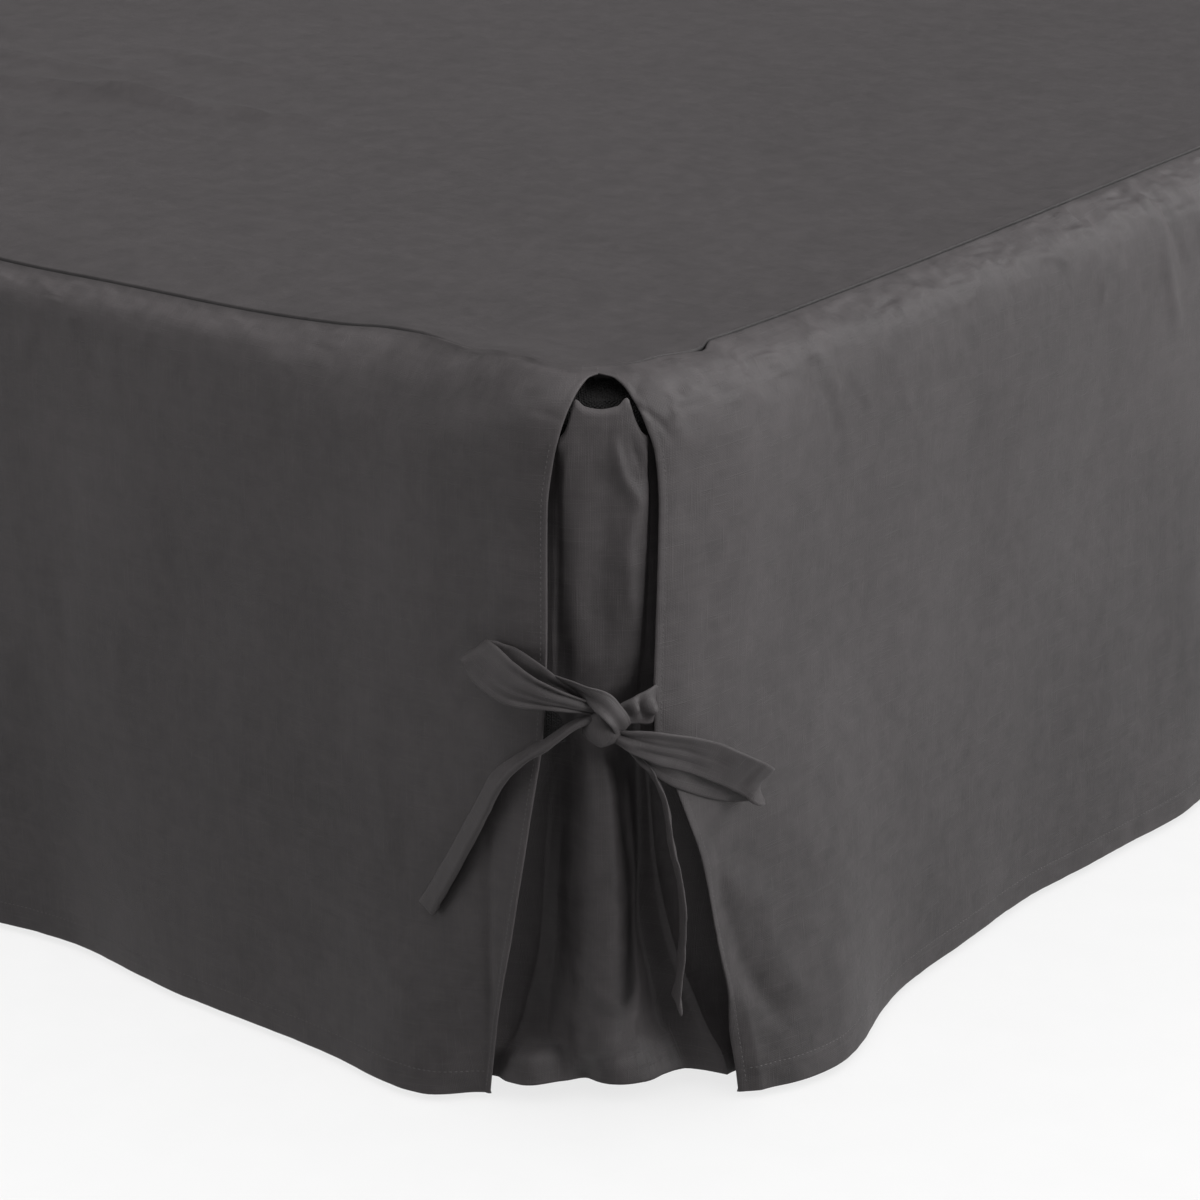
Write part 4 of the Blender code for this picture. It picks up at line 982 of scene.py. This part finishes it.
def insert_grid():
    near, far = INSERT_EDGE_SHARE, 1 - INSERT_EDGE_SHARE
    shares = [*np.linspace(0, near, 15)[:-1], *np.linspace(near, far, 30), *np.linspace(far, 1, 15)[1:]]
    wing = graded(WING_WIDTH, WING_STEPS)[1:]
    kinds = [(-1, step) for step in wing[::-1]]
    kinds += [(0, share) for share in shares] + [(1, step) for step in wing]
    rows = INSERT_ROWS
    low_left, low_right = slit_sides(INSERT_TAB_FROM)
    top_across = [row[0] for row in INSERT_TOP_EDGE]
    top_height = [row[1] for row in INSERT_TOP_EDGE]
    grid_distance, grid_outside, grid_height = (np.zeros((rows, len(kinds))) for _ in range(3))
    down = 1 - (1 - np.linspace(0, 1, rows)) ** 1.2
    for j, (side, value) in enumerate(kinds):
        share = value if side == 0 else (0.0 if side < 0 else 1.0)
        top = curve_through(top_across, top_height, np.array([between(low_left, low_right, share)]))[0]
        hem = between(INSERT_HEM_ENDS, INSERT_HEM_MIDDLE, math.sin(math.pi * share))
        if side != 0:
            top -= WING_FALL * value
        height = between(top, hem, down)
        grid_height[:, j] = height
        left, right = slit_sides(height)
        sections = np.stack([read_table(INSERT_SECTIONS, k + 1, height) for k in range(len(INSERT_SHARES))])
        if side == 0:
            grid_distance[:, j] = between(left, right, share)
            here = np.array([share])
            grid_outside[:, j] = [curve_through(INSERT_SHARES, row, here)[0] for row in sections.T]
            continue
        half_along = HALF_WIDTH if side < 0 else HALF_LENGTH
        table = RIGHT_END_EDGE if side < 0 else LEFT_END_EDGE
        slit_height = np.minimum(height, INSERT_TAB_FROM)
        along = -side * (slit_end(half_along) - value)
        place = shifted(np.full(rows, along), half_along, slit_height)
        behind = SHEET + GAP + WING_TUCK * ramp(height, *WING_TUCK_RISE)
        outside = hang_outside(place, half_along, slit_height, "short") - behind
        tuck = read_table(table, 2, height) - behind
        own = sections[0] if side < 0 else sections[-1]
        below = np.clip(1 - height / (BASE_UNDERSIDE - HEM_CLEARANCE), 0, 1)
        weight = 1 - smooth(value / between(WING_RETURN_AT_BASE, WING_RETURN_AT_HEM, below))
        grid_outside[:, j] = outside + np.minimum(own - tuck, 0) * weight
        grid_distance[:, j] = side * (to_corner(half_along) - np.abs(place))
    return grid_distance, grid_outside, grid_height


def make_inserts(material):
    distance, outside, height = insert_grid()
    left, right = slit_sides(height)
    share = (distance - left) / (right - left)
    open_part = smooth((share + OPEN_MARGIN) / OPEN_FADE) * smooth((1 + OPEN_MARGIN - share) / OPEN_FADE)
    relief = np.zeros_like(share)
    wide = INSERT_CREASE_SCALE
    for s0, t0, s1, t1, half_width, size in INSERT_CREASES:
        relief += crease(share * wide, height, (s0 * wide, t0), (s1 * wide, t1), half_width, size)
    s0, t0, half_share, half_height, size = INSERT_BULGE
    relief += size * np.exp(-(((share - s0) / half_share) ** 2) - ((height - t0) / half_height) ** 2)
    rng = np.random.default_rng(INSERT_SEED)
    relief += random_relief(rng, distance, height, INSERT_RIPPLES, INSERT_CRUMPLE)
    outer = corner_place(distance, outside + relief * open_part, height)
    normal = grid_normals(outer)
    above_hem = ramp(height, INSERT_HEM_HEIGHT, INSERT_HEM_HEIGHT + 3)
    inner = outer - normal * between(INSERT_HEM_CLOTH, CLOTH, above_hem)[..., None]
    cloth = cloth_at(distance, height, INSERT_APART)
    wear_and_painted_shading = sum(np.exp(-np.abs(height - row) / INSERT_WORN_EDGE) for row in (height[:1], height[-1:]))
    # Painted shade: the insert is made darker lower down in the slit, and again near its hem
    shade = INSERT_SHADE * ramp(height, *INSERT_SHADE_FALL)
    wear_and_painted_shading -= shade + INSERT_HEM_SHADE * ramp(height, *INSERT_HEM_SHADE_FALL)
    # Painted light: the wings, which lie in shade behind the skirts, are made paler lower down
    wear_and_painted_shading += WING_PAINTED_LIGHT * np.clip(1 - open_part, 0, 1) * ramp(height, *WING_PAINTED_LIGHT_FALL)
    first = mesh_object(f"corner_cloth_{CORNERS[0]}", material, *sheet_parts(outer, inner, cloth, wear_and_painted_shading))
    for insert, corner in place_at_corners(first, "corner_cloth"):
        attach(insert, "root")
        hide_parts(f"corner_insert_{corner}")


def place_at_corners(first, stem):
    """The first object stands at the foot's right corner, and its copies at the other three."""
    placed = []
    for side, corner in zip(SIDES, CORNERS):
        turn = math.radians(side[3])
        obj = first if corner == CORNERS[0] else put(f"{stem}_{corner}", first.data)
        obj.rotation_euler = (0, 0, turn)
        obj.location = Matrix.Rotation(turn, 3, "Z") @ (Vector((side[1], -side[2], 0)) * MM)
        placed.append((obj, corner))
    return placed


# Ties


BOW_RIGHT = np.array([1, 1, 0]) / math.sqrt(2)
BOW_AWAY = np.array([1, -1, 0]) / math.sqrt(2)
BOW_AXES = np.array([BOW_RIGHT, BOW_AWAY, (0, 0, 1.0)])
BOW_INSET = CORNER_RADIUS * (1 - math.sqrt(0.5))
BOW_START = np.array([-BOW_INSET, BOW_INSET, HEM_CLEARANCE])


def bow_place(values):
    """Points relative to the seam's sharp corner, from across, out and up."""
    return BOW_START + np.asarray(values, float) @ BOW_AXES


def through(rows, steps):
    """Rows with others between them, on a smooth curve through all of them."""
    rows = np.array(rows, float)
    before = rows[np.maximum(np.arange(len(rows) - 1) - 1, 0)]
    after = rows[np.minimum(np.arange(len(rows) - 1) + 2, len(rows) - 1)]
    first, last = rows[:-1], rows[1:]
    finer = []
    for k in range(steps):
        t = k / steps
        finer.append(
            0.5
            * (
                2 * first
                + (last - before) * t
                + (2 * before - 5 * first + 4 * last - after) * t * t
                + (3 * first - before - 3 * last + after) * t**3
            )
        )
    return np.concatenate([np.stack(finer, axis=1).reshape(-1, rows.shape[1]), rows[-1:]])


def ribbon(rows, seed, pleats, pleat_size, across=17, dents=(), folded=False, end_hem=False):
    """A flat tie along the rows, gathered into soft pleats where it is narrower than its cut width."""
    rng = np.random.default_rng(seed)
    fine = through(rows, RIBBON_STEPS)
    points = bow_place(fine[:, :3])
    travel = unit(np.gradient(points, axis=0))
    wide = bow_place(fine[:, 3:6]) - BOW_START
    wide = unit(wide - travel * (wide * travel).sum(1, keepdims=True))
    face = np.cross(travel, wide)
    way = way_along(points)[:, None]
    width = fine[:, 6:]
    x = np.linspace(-1, 1, across)[None]
    gathered = np.clip(1 - width / TIE_WIDTH, 0, 1)
    phase = rng.uniform(0, 2 * math.pi) + way * rng.uniform(-0.02, 0.02)
    lift = pleat_size * gathered**0.8 * np.sin(pleats * math.pi * x + phase)
    lift *= smooth((1.15 - np.abs(x)) / 0.6)
    lift += ripple(rng, way, x * TIE_WIDTH / 2, *TIE_RIPPLE)
    lift += 0.5 * (1 - gathered) * (x ** 2 - 0.3)
    for along, beside, half_along, half_beside, relief in dents:
        off, aside = (way - along) / half_along, (x - beside) / half_beside
        lift += relief * np.exp(-(off**2) - aside**2)
    beside = x + 0 * lift
    if folded:
        beside = 0.5 - np.sqrt(beside**2 + 0.0025)
        open_fold = np.sin(math.pi / 2 * np.clip(x / 0.16, -1, 1))
        lift += FOLD_GAP / 2 * open_fold * (1 + 0.5 * np.abs(x))
    grid = points[:, None] + wide[:, None] * (width / 2 * beside)[..., None]
    grid = grid + face[:, None] * lift[..., None]
    normal = grid_normals(grid)
    half = np.full(lift.shape, TIE_CLOTH / 2)
    half *= 0.35 + 0.65 * np.sqrt(np.clip(1 - np.abs(x) ** 10, 0, 1))
    half -= 0.16 * np.exp(-(((np.abs(x) - 0.82) * 10) ** 2))
    if end_hem:
        half += TIE_HEM_CLOTH * smooth((way - way[-1] + TIE_HEM) / 0.8)
        half *= 0.4 + 0.6 * np.sqrt(np.clip(1 - ((way - way[-1] + 1) / 1.0).clip(0, 1) ** 2, 0, 1))
    outer = grid + normal * half[..., None]
    inner = grid - normal * half[..., None]
    cloth = cloth_at(way, x * TIE_WIDTH / 2, TIES_APART * seed)
    wear_and_painted_shading = np.broadcast_to(np.exp(-(1 - np.abs(x)) * 8), lift.shape)
    return sheet_parts(outer, inner, cloth, wear_and_painted_shading)


def knot():
    """The rounded bulk of the knot, with soft creases that run the way its wrap does."""
    rings, segments = KNOT_RINGS, KNOT_SEGMENTS
    polar = np.linspace(0, math.pi, rings)[:, None]
    around = np.linspace(0, 2 * math.pi, segments, endpoint=False)[None]
    x = np.sin(polar) * np.cos(around)
    y = np.sin(polar) * np.sin(around)
    z = np.cos(polar) + 0 * around
    lean = math.radians(KNOT_LEAN)
    band = -x * math.sin(lean) + z * math.cos(lean)
    size = 1 + 0.03 * np.sin(7 * band + 2 * x) + 0.012 * np.sin(17 * band + 5 * y) - 0.05 * np.abs(y) ** 3
    off = np.array(KNOT_RADII) * np.stack([x, y, z], axis=-1) * size[..., None]
    grid = bow_place(np.array(KNOT_CENTRE) + off)
    points = np.concatenate([grid[:1, 0], grid[1:-1].reshape(-1, 3), grid[-1:, 0]])
    faces = []
    for j in range(segments):
        k = (j + 1) % segments
        faces.append([0, 1 + j, 1 + k])
        for i in range(rings - 3):
            a, b = 1 + i * segments, 1 + (i + 1) * segments
            faces.append([a + j, b + j, b + k, a + k])
        last = 1 + (rings - 3) * segments
        faces.append([last + j, len(points) - 1, last + k])
    cloth = points * MM + np.array([0, 0, KNOT_APART])
    return points, faces, cloth, np.full(len(points), 0.2)


def make_ties(material):
    parts = {
        "a": [
            knot(),
            ribbon(LEFT_LEAD_ROWS, TIE_SEED, 1.5, 0.7),
            ribbon(LEFT_LOOP_ROWS, TIE_SEED + 1, 1.5, 1.0, dents=LEFT_LOOP_DENTS),
            ribbon(LEFT_TAIL_ROWS, TIE_SEED + 2, 1.5, 0.5, across=25, folded=True, end_hem=True),
        ],
        "b": [
            ribbon(RIGHT_LEAD_ROWS, TIE_SEED + 3, 1.5, 0.8, dents=RIGHT_LEAD_DENTS),
            ribbon(RIGHT_LOOP_ROWS, TIE_SEED + 4, 1.7, 1.6, dents=RIGHT_LOOP_DENTS),
            ribbon(RIGHT_TAIL_ROWS, TIE_SEED + 5, 1.4, 1.0, end_hem=True),
        ],
    }
    for letter, pieces in parts.items():
        first = mesh_object(f"tie_ribbon_{letter}_{CORNERS[0]}", material, *joined(pieces))
        for tie, corner in place_at_corners(first, f"tie_ribbon_{letter}"):
            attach(tie, "root")
            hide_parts(f"tie_{letter}_{corner}")


# Materials


class Nodes:
    """Short way to build a material's nodes."""

    def __init__(self, name):
        self.material = bpy.data.materials.new(name)
        self.material.use_nodes = True
        self.tree = self.material.node_tree
        self.shader = self.tree.nodes["Principled BSDF"]

    def add(self, kind, inputs=(), **settings):
        node = self.tree.nodes.new(kind)
        for key, value in settings.items():
            setattr(node, key, value)
        for key, value in dict(inputs).items():
            if isinstance(value, bpy.types.NodeSocket):
                self.tree.links.new(value, node.inputs[key])
            else:
                node.inputs[key].default_value = value
        return node

    def math(self, operation, first, second=0.0):
        return self.add("ShaderNodeMath", {0: first, 1: second}, operation=operation).outputs[0]

    def total(self, first, *others):
        for other in others:
            first = self.math("ADD", first, other)
        return first

    def times(self, first, second):
        return self.math("MULTIPLY", first, second)

    def wave(self, value, turns):
        return self.math("SINE", self.times(value, turns))

    def stretched(self, vector, scale):
        return self.add("ShaderNodeVectorMath", {0: vector, 1: scale}, operation="MULTIPLY").outputs[0]

    def noise(self, vector, scale, detail=2.0, roughness=0.5, distortion=0.0):
        inputs = {"Vector": vector, "Scale": scale, "Detail": detail}
        inputs |= {"Roughness": roughness, "Distortion": distortion}
        return self.add("ShaderNodeTexNoise", inputs).outputs["Fac"]

    def spread(self, value, out_low, out_high, low=0.3, high=0.7):
        inputs = {0: value, 1: low, 2: high, 3: out_low, 4: out_high}
        return self.add("ShaderNodeMapRange", inputs).outputs[0]

    def place(self):
        return self.add("ShaderNodeTexCoord").outputs["Object"]

    def link(self, socket, name):
        self.tree.links.new(socket, self.shader.inputs[name])

    def color(self, color, tone):
        scaled = self.add("ShaderNodeVectorMath", {0: color, 3: tone}, operation="SCALE")
        self.link(scaled.outputs[0], "Base Color")

    def bump(self, strength, distance, height):
        bump = self.add("ShaderNodeBump", {"Strength": strength, "Distance": distance, "Height": height})
        self.link(bump.outputs[0], "Normal")

    def settings(self, values):
        for name, value in values.items():
            self.shader.inputs[name].default_value = value


THREAD_PITCH = 0.00062
BASE_THREAD_PITCH = 0.0016


def linen(name, color, contrast=1.0, blotches=0.06):
    """Washed linen: plain weave with slubs both ways, mottled dye, paler worn edges, and painted shade and
    highlights carried by the same attribute as the wear.
    """
    n = Nodes(name)
    cloth = n.add("ShaderNodeAttribute", attribute_name="cloth").outputs["Vector"]
    # This attribute holds paler worn edges and also painted shade and painted highlights
    wear_and_painted_shading = n.add("ShaderNodeAttribute", attribute_name="wear_and_painted_shading").outputs["Fac"]
    parts = n.add("ShaderNodeSeparateXYZ", {0: cloth})
    wobble = n.times(n.noise(cloth, 90.0, 1.0), 0.0009)
    turns = 2 * math.pi / THREAD_PITCH
    warp, weft = (n.wave(n.total(parts.outputs[k], wobble), turns) for k in (0, 1))
    half_warp, half_weft = (n.wave(parts.outputs[k], turns / 2) for k in (0, 1))
    weave = n.total(n.times(n.total(warp, weft), 0.25), n.times(n.times(half_warp, half_weft), 0.3))
    slub_down = n.noise(n.stretched(cloth, (1500, 34, 1)), 1.0, 2.0, 0.6)
    slub_across = n.noise(n.stretched(cloth, (28, 1500, 1)), 1.0, 2.0, 0.6)
    thick_down = n.spread(slub_down, 0.0, 1.0, 0.56, 0.74)
    thick_across = n.spread(slub_across, 0.0, 1.0, 0.56, 0.74)
    fuzz = n.noise(cloth, 2600.0, 2.0, 0.7)
    blotch = n.noise(n.stretched(cloth, (9, 6, 1)), 1.0, 4.0, 0.6)
    dye = n.noise(n.stretched(cloth, (85, 75, 1)), 1.0, 4.0, 0.65, 0.4)
    down_streak = n.noise(n.stretched(cloth, (260, 14, 1)), 1.0, 3.0, 0.6)
    across_streak = n.noise(n.stretched(cloth, (12, 240, 1)), 1.0, 3.0, 0.6)
    tone = n.spread(blotch, -blotches * contrast, blotches * contrast)
    for value, reach in ((dye, 0.12), (down_streak, 0.02), (across_streak, 0.025), (fuzz, 0.05)):
        tone = n.total(tone, n.spread(value, -reach * contrast, reach * contrast))
    slubs = [n.times(thick, 0.09 * contrast) for thick in (thick_down, thick_across)]
    n.color(color, n.total(tone, *slubs, n.times(weave, 0.05), n.times(wear_and_painted_shading, 0.16), 1.0))
    n.link(n.spread(dye, 0.50, 0.60), "Roughness")
    heights = ((weave, 0.35), (thick_down, 0.5), (thick_across, 0.5), (fuzz, 0.35), (dye, 0.8))
    n.bump(0.75, 0.00022, n.total(*(n.times(value, size) for value, size in heights)))
    n.settings({"Sheen Weight": 0.01, "Sheen Roughness": 0.45, "Specular IOR Level": 0.2})
    n.material.diffuse_color = (*color, 1.0)
    return n.material


def thread_material():
    n = Nodes("sewing_thread")
    twist = n.noise(n.place(), 3000.0, 1.0)
    n.color((0.056, 0.051, 0.052), n.spread(twist, 0.85, 1.2))
    n.link(n.spread(twist, 0.6, 0.8), "Roughness")
    return n.material


def base_cloth_material():
    """Plain upholstery cloth of the bed base: a close basket weave."""
    n = Nodes("base_upholstery")
    place = n.place()
    parts = n.add("ShaderNodeSeparateXYZ", {0: place})
    waves = [n.wave(parts.outputs[k], 2 * math.pi / BASE_THREAD_PITCH) for k in range(3)]
    weave = n.total(*(n.times(waves[j], waves[k]) for j, k in ((0, 2), (1, 2), (0, 1))))
    grain = n.noise(place, 420.0, 4.0, 0.6)
    n.color((0.020, 0.0185, 0.019), n.total(n.spread(grain, 0.82, 1.15), n.times(weave, 0.05)))
    n.link(n.spread(grain, 0.85, 0.97), "Roughness")
    n.bump(0.6, 0.0003, n.total(weave, grain))
    return n.material


def leg_material():
    """Dark stained wood with its grain up the leg."""
    n = Nodes("leg_stained_wood")
    place = n.place()
    grain = n.noise(n.stretched(place, (120, 120, 6)), 1.0, 6.0, 0.65, 0.6)
    pores = n.noise(n.stretched(place, (900, 900, 30)), 1.0, 2.0, 0.5)
    tone = n.total(n.spread(grain, 0.6, 1.35), n.spread(pores, -0.25, 0.0, 0.35, 0.6))
    n.color((0.060, 0.042, 0.031), tone)
    n.link(n.spread(grain, 0.34, 0.5), "Roughness")
    n.bump(0.35, 0.0002, pores)
    n.settings({"Coat Weight": 0.25, "Coat Roughness": 0.3})
    return n.material


def floor_material():
    n = Nodes("pale_floor")
    grain = n.noise(n.place(), 30.0, 3.0, 0.5)
    n.color((0.80, 0.80, 0.80), n.spread(grain, 0.995, 1.005))
    n.settings({"Roughness": 0.9, "Specular IOR Level": 0.1})
    return n.material


# Setting


CAMERA_PLACE = (1.629, -2.162, 0.870)
CAMERA_TURN = (69.15, 0.0, 37.62)
CAMERA_LENS = 108
CAMERA_SENSOR = 36
FLOOR_HALF = 30.0
LIGHTS = (
    # name, where it shines from, strength, width in degrees, what it lights, whether it throws shadows
    ("overhead", (0.06, -0.26, 1.0), 2.28, 66, "cover", True),
    ("right", (0.93, 0.28, 0.22), 3.2, 34, "cover", True),
    ("back", (0.40, 0.76, 0.52), 1.6, 24, "cover", True),
    ("left", (-0.50, -0.84, 0.26), 0.85, 34, "cover", True),
    ("floor_soft", (0.0, 0.0, 1.0), 0.35, 120, "floor", True),
    ("floor_even", (0.0, 0.0, 1.0), 3.0, 10, "floor", False),
)
WORLD_STRENGTH = 0.18


def make_camera():
    data = bpy.data.cameras.new("camera")
    data.lens = CAMERA_LENS
    data.sensor_width = CAMERA_SENSOR
    data.clip_end = 100
    camera = put("camera", data)
    camera.location = CAMERA_PLACE
    camera.rotation_euler = [math.radians(x) for x in CAMERA_TURN]
    bpy.context.scene.camera = camera


def make_light():
    """Soft light on the cover from above and from the sides, and even light on the floor."""
    scene = bpy.context.scene
    lit = {name: bpy.data.collections.new(f"lit_{name}") for name in ("cover", "floor")}
    world = bpy.data.worlds.new("studio")
    world.use_nodes = True
    background = world.node_tree.nodes["Background"]
    background.inputs["Color"].default_value = (1.0, 1.0, 1.0, 1.0)
    background.inputs["Strength"].default_value = WORLD_STRENGTH
    scene.world = world
    for name, place, strength, width, target, shadows in LIGHTS:
        light = bpy.data.lights.new(name, "SUN")
        light.energy = strength
        light.angle = math.radians(width)
        light.use_shadow = shadows
        lamp = put(name, light)
        lamp.rotation_euler = Vector(place).to_track_quat("Z", "Y").to_euler()
        lamp.light_linking.receiver_collection = lit[target]
    scene.view_settings.view_transform = "Standard"
    scene.view_settings.look = "None"
    return lit


def make_floor():
    mesh = bpy.data.meshes.new("floor")
    corners = [(x * FLOOR_HALF, y * FLOOR_HALF, 0) for x, y in ((-1, -1), (1, -1), (1, 1), (-1, 1))]
    mesh.from_pydata(corners, [], [(0, 1, 2, 3)])
    mesh.materials.append(floor_material())
    floor = put("floor", mesh)
    floor.visible_diffuse = False


def dress_frame(nodes):
    """Better materials for the base and its legs."""
    for name, obj in nodes.items():
        if name == "bed_base":
            material = base_cloth_material()
        elif name.startswith("bed_leg"):
            material = bpy.data.materials.get("leg_stained_wood") or leg_material()
        else:
            continue
        obj.data.materials.clear()
        obj.data.materials.append(material)


def main():
    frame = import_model()
    make_camera()
    lit = make_light()
    make_floor()
    dress_frame(frame["nodes"])
    skirt_linen = linen("skirt_linen", (0.0506, 0.0457, 0.0469), 1.35, 0.1)
    top_linen = linen("top_linen", (0.0488, 0.0441, 0.0453), 0.9)
    tie_linen = linen("tie_linen", (0.0440, 0.0398, 0.0408))
    make_top(top_linen)
    make_skirts(skirt_linen, thread_material())
    make_inserts(skirt_linen)
    make_ties(tie_linen)
    for obj in bpy.data.objects:
        if obj.type == "MESH":
            lit["floor" if obj.name == "floor" else "cover"].objects.link(obj)


main()
